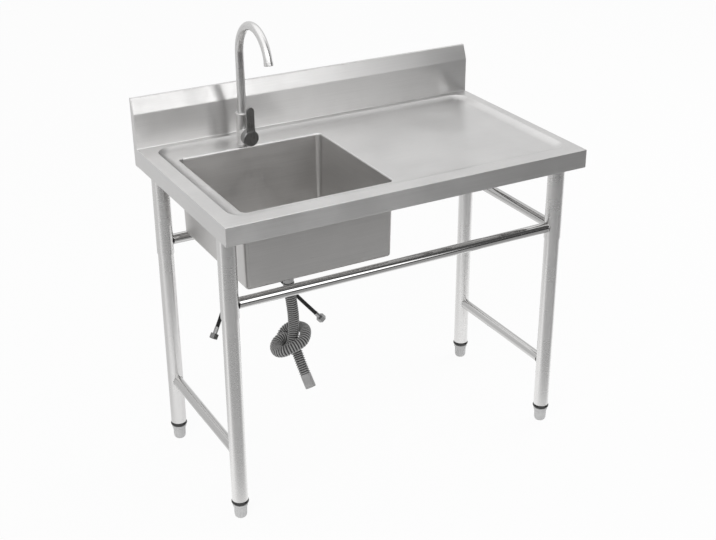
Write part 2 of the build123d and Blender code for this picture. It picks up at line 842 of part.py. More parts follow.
# ---------------------------------------------------------------- assembly
def build():
    parts = {
        "worktop": worktop(),
        "end_cap_left": end_cap(-1),
        "end_cap_right": end_cap(1),
        "bowl": bowl(),
        "channel_left": leg_channel(-1),
        "channel_right": leg_channel(1),
        "channel_middle": channel(middle_channel_x, middle_channel_width),
        "socket_screws": socket_screws(),
        "leg_screws": leg_screws(),
        "front_rail": rail(LEGS["front_left"], LEGS["front_right"], rail_height, sleeve_radius),
        "back_rail": rail(LEGS["back_left"], LEGS["back_right"], rail_height, sleeve_radius),
        "side_rail": rail(LEGS["front_right"], LEGS["back_right"], rail_height, sleeve_radius),
        "lower_rail_left": rail(LEGS["front_left"], LEGS["back_left"], lower_rail_height, leg_radius),
        "lower_rail_right": rail(LEGS["front_right"], LEGS["back_right"], lower_rail_height, leg_radius),
        "drain_flange": drain_flange(),
        "strainer_basket": strainer_basket(),
        "drain_gasket": drain_gasket_ring(),
        "drain_nut": drain_nut(),
        "hose_nut": hose_nut(),
        "hose_tail": hose_tail(),
        "drain_hose": drain_hose(),
        "tap_body": tap_body(),
        "tap_base_ring": tap_base_ring(),
        "tap_shank": tap_shank(),
        "tap_washer": tap_washer_ring(),
        "tap_nut": tap_nut(),
        "cartridge": cartridge(),
        "cartridge_ring": cartridge_ring(),
        "cartridge_spindle": cartridge_spindle(),
        "lever_stem": lever_stem(),
        "lever": lever(),
        "spout": spout(),
        "aerator": aerator(),
    }
    for corner, (x, y) in LEGS.items():
        parts[f"leg_socket_{corner}"] = leg_socket(x, y)
        parts[f"sleeve_{corner}"] = sleeve(x, y)
        parts[f"leg_{corner}"] = leg(x, y)
        parts[f"leg_insert_{corner}"] = leg_insert(x, y)
        parts[f"foot_{corner}"] = foot(x, y)
    for side in supply_routes:
        parts[f"supply_hose_{side}"] = supply_hose(side)
        parts[f"supply_ferrule_{side}"] = supply_ferrule(side)
        parts[f"supply_nut_{side}"] = supply_nut(side)
    return parts


os.makedirs("parts", exist_ok=True)
for node, shape in build().items():
    export_step(shape, f"parts/{node}.step")
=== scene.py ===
# %% [markdown]
# # A stainless sink unit
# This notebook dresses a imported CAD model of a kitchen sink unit: a folded steel worktop with a bowl,
# tube legs, a gooseneck tap, a knotted drain hose and two supply hoses. The CAD model is the fixed
# frame: it says where every piece is and how large it is. Here each visible piece gets its rounded
# folds, seams, ribs and threads, and every surface gets a finish made of nodes.

# %% Load the frame
import math

import bmesh
import bpy
from mathutils import Matrix, Vector


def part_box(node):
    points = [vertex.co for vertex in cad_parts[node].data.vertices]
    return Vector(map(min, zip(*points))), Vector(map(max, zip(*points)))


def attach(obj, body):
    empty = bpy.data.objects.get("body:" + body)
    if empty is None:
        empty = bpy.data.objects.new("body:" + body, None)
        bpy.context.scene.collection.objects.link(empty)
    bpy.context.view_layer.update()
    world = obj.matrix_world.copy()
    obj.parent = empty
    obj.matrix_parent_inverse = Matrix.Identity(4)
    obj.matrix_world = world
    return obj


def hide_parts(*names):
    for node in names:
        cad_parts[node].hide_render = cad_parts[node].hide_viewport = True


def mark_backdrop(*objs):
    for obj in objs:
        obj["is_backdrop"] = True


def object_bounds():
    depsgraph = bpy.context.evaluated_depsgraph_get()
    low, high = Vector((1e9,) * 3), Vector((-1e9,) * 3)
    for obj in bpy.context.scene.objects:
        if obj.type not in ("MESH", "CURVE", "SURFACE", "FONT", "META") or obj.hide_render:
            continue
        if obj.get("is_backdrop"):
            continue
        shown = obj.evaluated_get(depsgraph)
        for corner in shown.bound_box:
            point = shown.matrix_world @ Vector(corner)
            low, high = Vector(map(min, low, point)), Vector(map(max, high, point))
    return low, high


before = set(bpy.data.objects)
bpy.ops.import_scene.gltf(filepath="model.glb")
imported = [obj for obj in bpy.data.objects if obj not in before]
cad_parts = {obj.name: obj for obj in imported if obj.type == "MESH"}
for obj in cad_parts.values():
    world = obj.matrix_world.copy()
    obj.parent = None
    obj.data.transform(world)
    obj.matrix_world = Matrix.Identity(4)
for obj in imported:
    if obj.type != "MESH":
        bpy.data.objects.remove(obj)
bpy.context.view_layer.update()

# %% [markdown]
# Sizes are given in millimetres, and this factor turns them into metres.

MM = 0.001

# %% [markdown]
# ## The view
# The camera stands where the photographer stood: to the left of the middle and well above the
# worktop. Its heading, tilt and small roll are three turns, one after the other. A camera with no
# turn looks straight down, so a right angle less the tilt brings it up to look across the scene.

# %% Place the camera
FRAME_WIDTH = 716
FOCAL_LENGTH = 1265.2
CAMERA_PLACE = (-1.46773, -2.66955, 1.97161)
HEADING = math.radians(-28.723)
TILT = math.radians(25.901)
ROLL = math.radians(-0.284)


def select_none():
    """Clear the selection, so that nothing is edited by mistake."""
    bpy.ops.object.select_all(action="DESELECT")


select_none()
bpy.ops.object.camera_add(location=CAMERA_PLACE)
camera = bpy.context.object
camera.name = "camera"
turned = (
    Matrix.Rotation(HEADING, 4, "Z")
    @ Matrix.Rotation(math.pi / 2 - TILT, 4, "X")
    @ Matrix.Rotation(ROLL, 4, "Z")
)
camera.matrix_world = Matrix.Translation(CAMERA_PLACE) @ turned
camera.data.lens = FOCAL_LENGTH / FRAME_WIDTH * camera.data.sensor_width
bpy.context.scene.camera = camera
bpy.context.scene.view_settings.view_transform = "Standard"
print("lens", round(camera.data.lens, 2), "mm")

# %% [markdown]
# ## The two kinds of cord
# The drain hose and the supply hoses are soft, so each follows one smooth line. The line is a NURBS
# curve with the same points as the CAD model's plain tubes, but for four points of the drain hose,
# which were moved, by 14 mm at most, to follow the photo. The cords come right after the
# camera, because one that ran out of the view would have to be laid again in the CAD model.
#
# A NURBS curve was chosen over a Bezier one because its handles look after themselves: the curve is
# pulled towards each point without quite reaching it, as a stiff hose is.

# %% Lay the cords' lines
HOSE_TOP = 547.8
LINE_ORDER = 3
LINE_STEPS = 16
DRAIN_ROUTE = [
    (-224, -21.5, HOSE_TOP),
    (-219, -21.5, 496), (-212, -22, 442), (-209, -21, 404), (-210, -18, 373), (-214, -25, 344),
    (-227, -18, 319), (-233, 8, 306), (-226, 35, 314), (-211, 47, 336), (-192, 36, 356), (-177, 13, 362),
    (-174, -14, 368), (-184, -40, 369), (-202, -61, 359), (-228, -64, 352), (-253, -56, 340),
    (-265, -32, 329), (-259, -4, 333), (-236, 10, 344), (-208, 11, 335), (-192, 10, 304),
    (-187, -19, 256), (-178, -50, 206),
]
SUPPLY_ROUTES = {
    "left": [
        (-236.8, 206, 833),
        (-236.8, 206, 744), (-246, 222, 656), (-264, 252, 573), (-274, 264, 484), (-270, 248, 396),
        (-334, 208, 309),
    ],
    "right": [
        (-225.2, 206, 833),
        (-225.2, 206, 744), (-220, 224, 655), (-206, 238, 560), (-170, 231, 456), (-104, 219, 362),
        (-30, 210, 274),
    ],
}


def cord_line(name, route):
    """NURBS curve pulled by the route's points, given in millimetres."""
    curve = bpy.data.curves.new(name, "CURVE")
    curve.dimensions = "3D"
    spline = curve.splines.new("NURBS")
    spline.points.add(len(route) - 1)
    for point, place in zip(spline.points, route):
        point.co = (place[0] * MM, place[1] * MM, place[2] * MM, 1)
    spline.order_u = LINE_ORDER
    spline.use_endpoint_u = True
    curve.resolution_u = LINE_STEPS
    line = bpy.data.objects.new(name, curve)
    bpy.context.scene.collection.objects.link(line)
    return line


def line_points(line):
    """Places along a cord's line, read from the line itself."""
    bpy.context.view_layer.update()
    wire = bpy.data.meshes.new_from_object(line.evaluated_get(bpy.context.evaluated_depsgraph_get()))
    points = [vertex.co.copy() for vertex in wire.vertices]
    bpy.data.meshes.remove(wire)
    return points


def line_length(points):
    return sum((b - a).length for a, b in zip(points, points[1:]))


drain_line = cord_line("drain_line", DRAIN_ROUTE)
drain_points = line_points(drain_line)
supply_lines = {side: cord_line(f"supply_line_{side}", route) for side, route in SUPPLY_ROUTES.items()}
supply_points = {side: line_points(line) for side, line in supply_lines.items()}
print("drain hose", round(line_length(drain_points), 3), "m")
for side, points in supply_points.items():
    print("supply hose", side, round(line_length(points), 3), "m")

# %% [markdown]
# ## The studio
# Steel has almost no colour of its own: what it shows is the room. A product photographer lights it
# with broad white panels and puts black cards between them, so that each tube carries a bright band
# beside a dark one, and each folded face has a tone of its own.
#
# The world does the panels' work. To the camera it is plain white. To a reflection it is a pale room
# with a brighter ceiling and a bright panel in front, which gains from left to right and ends at a
# black screen. A dark band lies between that panel and the floor. To matt surfaces the world is an
# even, weaker white.

# %% Helpers for nodes
def feed(tree, node, inputs):
    """Give a node's sockets their values, or links where the value is a socket of another node."""
    for socket, value in inputs.items():
        if isinstance(value, bpy.types.NodeSocket):
            tree.links.new(value, node.inputs[socket])
        else:
            node.inputs[socket].default_value = value


def add_node(tree, kind, inputs=None, **settings):
    """Add a node; settings are its own options, inputs are values or links for its sockets."""
    node = tree.nodes.new("ShaderNode" + kind)
    for option, value in settings.items():
        setattr(node, option, value)
    feed(tree, node, inputs or {})
    return node


def math_node(tree, operation, *values):
    return add_node(tree, "Math", dict(enumerate(values)), operation=operation).outputs[0]


def times(tree, first, second):
    return math_node(tree, "MULTIPLY", first, second)


def blend(tree, share, first, second):
    """Number between the first, at a share of nought, and the second, at one."""
    return add_node(tree, "Mix", {"Factor": share, "A": first, "B": second}).outputs[0]


def ramp_between(tree, value, start, end, low=0.0, high=1.0):
    """Follow a value smoothly from low, at start, to high, at end."""
    sockets = {"Value": value, "From Min": start, "From Max": end, "To Min": low, "To Max": high}
    return add_node(tree, "MapRange", sockets, interpolation_type="SMOOTHSTEP").outputs["Result"]


# %% Light the world
WORLD_FOR_MATT = 0.62
CEILING_PANEL = 1.5
BACK_WALL = 0.86
FRONT_PANEL_LEFT = 1.85
FRONT_PANEL_MIDDLE = 3.1
BLACK_SCREEN = 0.03
DARK_BAND = 0.05
SMALLEST_AHEAD = 0.05
WHITE = (1, 1, 1, 1)

world = bpy.data.worlds.new("white_room")
bpy.context.scene.world = world
world.use_nodes = True
tree = world.node_tree
tree.nodes.clear()
direction = add_node(tree, "SeparateXYZ", {0: add_node(tree, "TexCoord").outputs["Generated"]})
across, ahead, up = direction.outputs
facing_us = math_node(tree, "MAXIMUM", times(tree, ahead, -1), SMALLEST_AHEAD)
bearing = math_node(tree, "DIVIDE", across, facing_us)
in_front = ramp_between(tree, ahead, -0.1, -0.45)
front_panel = ramp_between(tree, bearing, 0.3, 0.48, FRONT_PANEL_LEFT, FRONT_PANEL_MIDDLE)
front_room = times(tree, front_panel, ramp_between(tree, up, 0.03, 0.12, DARK_BAND, 1.0))
walls = blend(tree, in_front, BACK_WALL, front_room)
room = blend(tree, ramp_between(tree, up, 0.5, 0.8), walls, CEILING_PANEL)
screen = ramp_between(tree, bearing, 0.52, 0.62, 1.0, BLACK_SCREEN)
shaded_room = times(tree, room, blend(tree, in_front, 1.0, screen))

path = add_node(tree, "LightPath").outputs
seen = math_node(tree, "MAXIMUM", path["Is Camera Ray"], path["Is Transmission Ray"])
matt_light, room_light, white_light = [
    add_node(tree, "Background", {"Color": WHITE, "Strength": strength}).outputs[0]
    for strength in (WORLD_FOR_MATT, shaded_room, 1.0)
]
reflected = add_node(tree, "MixShader", {0: path["Is Glossy Ray"], 1: matt_light, 2: room_light})
either = add_node(tree, "MixShader", {0: seen, 1: reflected.outputs[0], 2: white_light})
add_node(tree, "OutputWorld", {"Surface": either.outputs[0]})
print("world nodes", len(tree.nodes))

# %% [markdown]
# Two large soft lamps add the rest of the light on matt surfaces, and the unit's shadow. Reflections
# do not see them, so they leave no square highlights on the steel.

# %% Hang the soft lamps
LAMP_SIZE = 3.0
LAMP_AIM = Vector((0, 0, 0.6))


def soft_lamp(name, place, power):
    """Square lamp at a place, turned to face the unit."""
    select_none()
    bpy.ops.object.light_add(type="AREA", location=place)
    lamp = bpy.context.object
    lamp.name = name
    lamp.data.size = LAMP_SIZE
    lamp.data.energy = power
    lamp.rotation_euler = (LAMP_AIM - Vector(place)).to_track_quat("-Z", "Y").to_euler()
    lamp.visible_glossy = False
    print(name, power, "W")


soft_lamp("key_lamp", (-3.2, -2.6, 3.6), 70)
soft_lamp("fill_lamp", (3.4, 0.4, 3.4), 40)

# %% [markdown]
# The floor is a pale sheet. A camera ray sees it lifted towards white, as in a catalogue picture, and
# it keeps the unit's soft shadow. Over it lies a card that only reflections can see: bright under the
# unit, grey in front, black further off and pale behind. The aprons and tubes take their tones from it.

# %% Lay the floor and the card
FLOOR_SIZE = 30
FLOOR_LIFT = 0.93
CARD_SIZE = 28
CARD_HEIGHT = 0.0004
CARD_UNDER = 1.25
CARD_FRONT = 0.5
CARD_FAR = 0.04
CARD_BACK_LEFT = 0.8
CARD_BACK_RIGHT = 1.2


def lay_sheet(name, finish, size, height):
    """Level square with a finish of its own: the square, the finish's tree and its surface socket."""
    select_none()
    bpy.ops.mesh.primitive_plane_add(size=size, location=(0, 0, height))
    sheet = bpy.context.object
    sheet.name = name
    material = bpy.data.materials.new(finish)
    material.use_nodes = True
    sheet.data.materials.append(material)
    return sheet, material.node_tree, material.node_tree.nodes["Material Output"].inputs["Surface"]


floor, tree, surface = lay_sheet("floor", "floor_paint", FLOOR_SIZE, 0)
matt = tree.nodes["Principled BSDF"]
feed(tree, matt, {"Base Color": (0.9, 0.9, 0.9, 1), "Roughness": 0.9, "Specular IOR Level": 0.1})
white = add_node(tree, "Emission", {"Strength": 1.0})
lift = times(tree, add_node(tree, "LightPath").outputs["Is Camera Ray"], FLOOR_LIFT)
paper = add_node(tree, "MixShader", {0: lift, 1: matt.outputs[0], 2: white.outputs[0]})
tree.links.new(paper.outputs[0], surface)

card, tree, surface = lay_sheet("reflected_card", "card_tone", CARD_SIZE, CARD_HEIGHT)
tree.nodes.remove(tree.nodes["Principled BSDF"])
place = add_node(tree, "SeparateXYZ", {0: add_node(tree, "TexCoord").outputs["Object"]})
to_right, to_back, _ = place.outputs
front = ramp_between(tree, to_back, -0.15, -0.5, CARD_UNDER, CARD_FRONT)
front_tone = blend(tree, ramp_between(tree, to_back, -1.75, -2.1), front, CARD_FAR)
back_tone = ramp_between(tree, to_right, -1.0, 1.0, CARD_BACK_LEFT, CARD_BACK_RIGHT)
tone = blend(tree, ramp_between(tree, to_back, -0.2, 0.4), front_tone, back_tone)
tree.links.new(add_node(tree, "Emission", {"Strength": tone}).outputs[0], surface)
for rays in ("camera", "diffuse", "shadow", "transmission"):
    setattr(card, f"visible_{rays}", False)
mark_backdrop(floor, card)

# %% [markdown]
# ## The modelling helpers
# Most pieces here are pressed, folded or turned, and each way of working gets one helper. All sizes
# are in millimetres, as in a workshop drawing, and are turned into metres where Blender is called.
#
# The first helpers only keep order: nothing is selected before a piece is started, and in edit mode
# the wanted vertices, edges or faces are found by where they are, as one would click on them.

# %% Helpers to select and to finish
SMOOTH_ANGLE = math.radians(32)
SAME_PLACE = 0.002


def hold(piece):
    """Make one piece the only selected and the active one."""
    select_none()
    piece.select_set(True)
    bpy.context.view_layer.objects.active = piece


def edit(piece):
    hold(piece)
    bpy.ops.object.mode_set(mode="EDIT")


def close_edit():
    bpy.ops.object.mode_set(mode="OBJECT")


def pick(kind, test):
    """In edit mode, select only what passes the test; kind is VERT, EDGE or FACE."""
    bpy.ops.mesh.select_mode(type=kind)
    bpy.ops.mesh.select_all(action="DESELECT")
    data = bpy.context.object.data
    mesh = bmesh.from_edit_mesh(data)
    for element in {"VERT": mesh.verts, "EDGE": mesh.edges, "FACE": mesh.faces}[kind]:
        if test(element):
            element.select_set(True)
    mesh.select_flush_mode()
    bmesh.update_edit_mesh(data)


def level(element, height, near=0.01):
    """Whether all of an edge or a face lies at a height."""
    return all(abs(vertex.co.z / MM - height) < near for vertex in element.verts)


def extrude(x, y, z):
    """In edit mode, extrude what is selected by so many millimetres."""
    bpy.ops.mesh.extrude_region_move(TRANSFORM_OT_translate={"value": (x * MM, y * MM, z * MM)})


def close_seams():
    """In edit mode, merge what lies on itself and turn the faces outwards."""
    bpy.ops.mesh.select_all(action="SELECT")
    bpy.ops.mesh.remove_doubles(threshold=SAME_PLACE * MM)
    bpy.ops.mesh.normals_make_consistent(inside=False)


def modify(piece, kind, **settings):
    """Add a modifier with its settings, and apply it at once."""
    hold(piece)
    bpy.ops.object.modifier_add(type=kind)
    modifier = piece.modifiers[-1]
    for option, value in settings.items():
        setattr(modifier, option, value)
    bpy.ops.object.modifier_apply(modifier=modifier.name)


def thicken(piece, thickness, **settings):
    """Give a skin its thickness, on the inner side."""
    modify(piece, "SOLIDIFY", thickness=thickness * MM, offset=-1, **settings)


def round_edges(piece, width, segments, angle):
    """Round every edge that is sharper than the angle."""
    modify(
        piece, "BEVEL", width=width * MM, segments=segments, limit_method="ANGLE",
        angle_limit=math.radians(angle),
    )


def join(piece, other):
    """Make the other one a part of the piece."""
    hold(other)
    piece.select_set(True)
    bpy.context.view_layer.objects.active = piece
    bpy.ops.object.join()


def place_in_mesh():
    bpy.ops.object.transform_apply(location=True, rotation=True, scale=True)


def settle(piece, name, body, slot, material, *replaced):
    """Finish a piece: its place goes into its mesh, it gets its name and finish, it hangs from its body,
    and the CAD parts that it replaces are hidden.
    """
    hold(piece)
    place_in_mesh()
    bpy.ops.object.shade_smooth_by_angle(angle=SMOOTH_ANGLE)
    modify(piece, "WEIGHTED_NORMAL", keep_sharp=True)
    piece.name = piece.data.name = name
    piece.data.materials.clear()
    piece.data.materials.append(material)
    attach(piece, body)
    if replaced:
        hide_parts(*replaced)
    print(name, len(piece.data.polygons), "faces")


# %% [markdown]
# Round things are turned. A turner thinks of half a section: a list of radii, each at a height. Here
# a circle is the first ring, and each further point of the section is one extrude followed by one
# scale. A bored piece comes back to its first ring; a solid one keeps a flat face at each end.

# %% Turn a section round an upright axis
FINE_SIDES = 96


def start_ring(radius, height, place=(0, 0), sides=64, fill="NOTHING"):
    """Circle in edit mode, selected."""
    select_none()
    bpy.ops.mesh.primitive_circle_add(
        vertices=sides, radius=radius * MM, location=(place[0] * MM, place[1] * MM, height * MM),
        fill_type=fill, enter_editmode=True,
    )
    bpy.ops.mesh.select_mode(type="VERT")
    bpy.ops.mesh.select_all(action="SELECT")
    return bpy.context.object


def raise_rings(section, place=(0, 0)):
    """In edit mode, extrude the selected ring, which stands at the section's first point, to the others."""
    for (radius, height), (next_radius, next_height) in zip(section, section[1:]):
        extrude(0, 0, next_height - height)
        growth = next_radius / radius
        centre = (place[0] * MM, place[1] * MM, next_height * MM)
        bpy.ops.transform.resize(value=(growth, growth, 1), center_override=centre)


def turn(section, place=(0, 0), sides=64, bored=False):
    """Object turned from (radius, height) points, from the bottom or the inside onwards."""
    piece = start_ring(*section[0], place, sides, "NOTHING" if bored else "NGON")
    raise_rings(section + section[:1] * bored, place)
    close_seams()
    close_edit()
    place_in_mesh()
    return piece


def arc(centre, radius, start, end, steps):
    """Points on an arc; angles in degrees, measured up from the outward direction."""
    angles = [math.radians(start + (end - start) * step / steps) for step in range(steps + 1)]
    return [(centre[0] + radius * math.cos(a), centre[1] + radius * math.sin(a)) for a in angles]


# %% [markdown]
# Pressed things follow rounded rectangles, one inside or under the other. Each is a loop of edges,
# and two neighbouring loops are bridged with faces. A loop is found again by a sum: how far a place
# is from the rounded rectangle, which is nought all along it.

# %% Loops for pressed sheet
CORNER_STEPS = 12
SMALLEST_CORNER = 0.6
HOLE_SIDES = 48
ON_LOOP = 0.1


def grown(loop, out, rise=0.0):
    """The same loop, larger by out all round and higher by rise."""
    x0, x1, y0, y1, corner, z = loop
    return (x0 - out, x1 + out, y0 - out, y1 + out, max(corner + out, SMALLEST_CORNER), z + rise)


def off_loop(place, loop):
    """Distance of a place from a loop in millimetres."""
    x0, x1, y0, y1, corner, z = loop
    past_x = abs(place.x / MM - (x0 + x1) / 2) - (x1 - x0) / 2 + corner
    past_y = abs(place.y / MM - (y0 + y1) / 2) - (y1 - y0) / 2 + corner
    beside = math.hypot(max(past_x, 0), max(past_y, 0)) + min(max(past_x, past_y), 0) - corner
    return math.hypot(beside, place.z / MM - z)


def add_loop(loop):
    """In edit mode, add a rounded rectangle of edges."""
    x0, x1, y0, y1, corner, z = loop
    centre = ((x0 + x1) / 2 * MM, (y0 + y1) / 2 * MM, z * MM)
    bpy.ops.mesh.select_all(action="DESELECT")
    bpy.ops.mesh.primitive_plane_add(size=1, location=centre)
    bpy.ops.transform.resize(value=((x1 - x0) * MM, (y1 - y0) * MM, 1), center_override=centre)
    if corner:
        bpy.ops.mesh.bevel(offset=corner * MM, segments=CORNER_STEPS, affect="VERTICES")
    bpy.ops.mesh.delete(type="ONLY_FACE")


def add_hole(x, y, radius, z):
    """In edit mode, add a circle of edges, and return it as a loop."""
    bpy.ops.mesh.select_all(action="DESELECT")
    bpy.ops.mesh.primitive_circle_add(
        vertices=HOLE_SIDES, radius=radius * MM, location=(x * MM, y * MM, z * MM),
    )
    return (x - radius, x + radius, y - radius, y + radius, radius, z)


def pick_loops(*loops):
    """In edit mode, select the edges that run along the loops."""
    pick("EDGE", lambda edge: any(
        all(off_loop(vertex.co, loop) < ON_LOOP for vertex in edge.verts) for loop in loops
    ))


def press(loops):
    """In edit mode, add loops and bridge each to the next."""
    for loop in loops:
        add_loop(loop)
    for outer, inner in zip(loops, loops[1:]):
        pick_loops(outer, inner)
        bpy.ops.mesh.bridge_edge_loops()


def face_up(height):
    """In edit mode, turn all faces so that the flat one at the height looks up."""
    close_seams()
    mesh = bmesh.from_edit_mesh(bpy.context.object.data)
    if next(face for face in mesh.faces if level(face, height)).normal.z < 0:
        bpy.ops.mesh.flip_normals()


def start_sheet():
    """Empty mesh in edit mode, at the origin."""
    select_none()
    bpy.ops.mesh.primitive_plane_add(size=1, enter_editmode=True)
    bpy.ops.mesh.delete(type="VERT")
    return bpy.context.object

# %% [markdown]
# ## The finishes
# Nearly everything is stainless steel, but in several finishes. Rolled sheet is brushed, so it has
# fine streaks that run along its length, and on top of them a slow, cloudy change from handling and
# wiping. Tube is ground round and polished, so its streaks run round it and it mirrors more sharply.
#
# A picture of brushed steel could be laid on, but noise that is stretched along one direction gives
# the same streaks at any distance. The streaks move roughness a good deal, colour a little and the
# surface hardly at all. They read the object's own coordinates, so they stay put when a piece moves.

# %% Metal finishes
STEEL_METALLIC = 0.94
FACES_SIDEWAYS = 0.7


def new_material(name):
    """Empty material: itself, its tree and its one surface shader."""
    material = bpy.data.materials.new(name)
    material.use_nodes = True
    return material, material.node_tree, material.node_tree.nodes["Principled BSDF"]


def noise(tree, scale, detail, stretch=(1, 1, 1)):
    """Noise on the piece's own coordinates, which are first stretched."""
    own = add_node(tree, "TexCoord").outputs["Object"]
    places = add_node(tree, "Mapping", {"Vector": own, "Scale": stretch}).outputs[0]
    return add_node(tree, "TexNoise", {"Vector": places, "Scale": scale, "Detail": detail}).outputs["Fac"]


def spread(tree, cloud, low, high):
    """Spread the usual values of a noise from low to high."""
    return ramp_between(tree, cloud, 0.3, 0.7, low, high)


def bump(tree, height, strength, distance):
    return add_node(tree, "Bump", {"Height": height, "Strength": strength, "Distance": distance}).outputs[0]


def grey(tree, value, warmth=1.0):
    """A near-grey colour from a value; warmth above 1 leans to red."""
    red = times(tree, value, warmth)
    blue = math_node(tree, "DIVIDE", value, warmth)
    return add_node(tree, "CombineColor", {0: red, 1: value, 2: blue}).outputs[0]


def brushed_metal(name, tone, roughness, streaks, strength=1.0, warmth=1.008, side_streaks=None,
                  pull=0.0, pull_way=None):
    """Metal with streaks. They repeat so often per metre along x, y and z, and pull its highlights out."""
    material, tree, shader = new_material(name)
    fine = noise(tree, 1.0, 3.0, streaks)
    normal = add_node(tree, "TexCoord").outputs["Normal"]
    if side_streaks:
        facing = math_node(tree, "ABSOLUTE", add_node(tree, "SeparateXYZ", {0: normal}).outputs[0])
        sideways = math_node(tree, "GREATER_THAN", facing, FACES_SIDEWAYS)
        fine = blend(tree, sideways, fine, noise(tree, 1.0, 3.0, side_streaks))
    if pull_way:
        across = add_node(tree, "CombineXYZ", dict(enumerate(pull_way)))
    elif pull:
        across = add_node(tree, "VectorMath", {0: normal, 1: (1.0, 0.05, 0.0)}, operation="CROSS_PRODUCT")
    if pull:
        feed(tree, shader, {"Tangent": across.outputs[0], "Anisotropic": pull})
    cloud = noise(tree, 7.0, 4.0)
    spots = noise(tree, 60.0, 3.0)
    tone_streak = spread(tree, fine, tone * (1 - 0.03 * strength), tone * (1 + 0.03 * strength))
    tone_cloud = spread(tree, cloud, 1 - 0.035 * strength, 1 + 0.025 * strength)
    rough_streak = ramp_between(
        tree, fine, 0.25, 0.75, roughness * (1 - 0.12 * strength), roughness * 1.12,
    )
    rough_cloud = ramp_between(tree, cloud, 0.35, 0.7, 0.94, 1.08)
    rough_spots = ramp_between(tree, spots, 0.4, 0.75, 1.0, 1.0 + 0.08 * strength)
    feed(tree, shader, {
        "Metallic": STEEL_METALLIC,
        "Base Color": grey(tree, times(tree, tone_streak, tone_cloud), warmth),
        "Roughness": times(tree, times(tree, rough_streak, rough_cloud), rough_spots),
        "Normal": bump(tree, fine, 0.03 * strength, 0.00005),
    })
    return material


sheet_steel = brushed_metal(
    "brushed_sheet_steel", 0.63, 0.34, (5, 900, 900), side_streaks=(900, 5, 900), pull=0.85,
)
# The bowl's steel is toned darker than the worktop's: painted shade, which darkens the whole bowl, inside
# and out.
bowl_steel = brushed_metal(
    "brushed_steel_painted_bowl_shade", 0.58, 0.33, (6, 700, 700), side_streaks=(700, 6, 700), pull=0.6, warmth=1.015,
)
leg_steel = brushed_metal(
    "ground_tube_steel", 0.66, 0.27, (8, 8, 120), strength=0.12, pull=0.8, pull_way=(0, 0, 1),
)
# The rails' tone is set lower than the legs' so that their reflections read darker: painted dark
# reflections.
rail_steel = brushed_metal("polished_steel_painted_rail_reflection", 0.52, 0.06, (8, 8, 300), strength=0.4)
folded_steel = brushed_metal("folded_channel_steel", 0.55, 0.38, (500, 6, 500), strength=1.2)
fixing_steel = brushed_metal("plated_screws", 0.55, 0.32, (400, 400, 400), strength=0.8, warmth=1.0)
drain_steel = brushed_metal("pressed_drain_steel", 0.6, 0.2, (300, 300, 300), strength=0.6)
tap_nickel = brushed_metal("brushed_nickel", 0.66, 0.3, (700, 700, 9), strength=0.8, warmth=1.006)
# The lever's nickel is a darker copy of the tap's: painted dark reflection on its flat faces.
lever_dark_reflection_nickel = brushed_metal("satin_nickel_painted_lever_reflection", 0.25, 0.28, (700, 700, 9), strength=0.8, warmth=1.004)
nut_chrome = brushed_metal("chromed_nuts", 0.3, 0.24, (200, 200, 200), strength=0.5, warmth=1.0)
print("metal finishes", len(bpy.data.materials))

# %% [markdown]
# Brass differs from steel only in its colour, so it gets its own tint. The cartridge, its spindle and
# the stem sit inside the tap, and show only where the lever lifts off its ring.

# %% Brass
DULL_BRASS = (0.62, 0.46, 0.22, 1)
BRIGHT_BRASS = (0.74, 0.57, 0.3, 1)

valve_brass, tree, shader = new_material("turned_brass")
cloud = noise(tree, 90.0, 3.0)
tint = add_node(tree, "Mix", {"Factor": cloud, 6: DULL_BRASS, 7: BRIGHT_BRASS}, data_type="RGBA")
feed(tree, shader, {
    "Metallic": 1.0, "Base Color": tint.outputs[2], "Roughness": spread(tree, cloud, 0.22, 0.34),
})

# %% [markdown]
# Plastics and rubber are matt or satin and have no metal in them. Moulded plastic is never quite even:
# its gloss changes slowly, and a very fine grain breaks the highlight. The black ring is glossier than
# the feet, and the sockets and the nuts of the drain are white.

# %% Plastics and rubber
def moulded(name, tone, roughness, grain=900.0, depth=0.05):
    """Moulded plastic or rubber of a grey tone."""
    material, tree, shader = new_material(name)
    cloud = noise(tree, 35.0, 3.0)
    feed(tree, shader, {
        "Base Color": grey(tree, spread(tree, cloud, tone * 0.95, tone * 1.04)),
        "Roughness": spread(tree, cloud, roughness * 0.88, roughness * 1.12),
        "Normal": bump(tree, noise(tree, grain, 2.0), depth, 0.0002),
    })
    return material


ring_plastic = moulded("glossy_black_plastic", 0.012, 0.2)
foot_plastic = moulded("grey_foot_plastic", 0.6, 0.45)
white_plastic = moulded("white_plastic", 0.8, 0.4)
gasket_rubber = moulded("black_rubber", 0.02, 0.6, grain=500.0, depth=0.15)
print("materials", len(bpy.data.materials))

# %% [markdown]
# The grooves between the ribs of the drain hose get painted shade: its grey is painted deeper there.
# The hose carries a number at each of its points, nought on a crest and one in a groove, and the
# finish reads it. A bump or a striped pattern would slide against the ribs wherever the hose bends.

# %% Hose plastic
HOSE_CREST_TONE = 0.36
# The groove tone is painted shade; the crest tone is the plastic's own grey.
HOSE_GROOVE_SHADE_TONE = 0.045

hose_plastic, tree, shader = new_material("grey_hose_plastic")
groove_shade = add_node(tree, "Attribute", attribute_name="groove_shade").outputs["Fac"]
cloud = noise(tree, 40.0, 3.0)
# Painted shade: the grey darkens from the crest tone towards the groove tone.
base = ramp_between(tree, groove_shade, 0.15, 0.95, HOSE_CREST_TONE, HOSE_GROOVE_SHADE_TONE)
feed(tree, shader, {
    "Base Color": grey(tree, times(tree, base, spread(tree, cloud, 0.9, 1.08)), 1.005),
    "Roughness": spread(tree, cloud, 0.42, 0.58),
})

# %% [markdown]
# The braid of a supply hose is a plait of flat black strands that wind both ways round the rubber.
# Where two families of diagonal waves cross, their product gives the over-and-under of the plait. The
# pattern has to follow the hose round its bends, so it reads the hose's UV map: across is the way
# round, and up is the length in steps of the hose's own girth.

# %% Braid
STRANDS_ROUND = 12

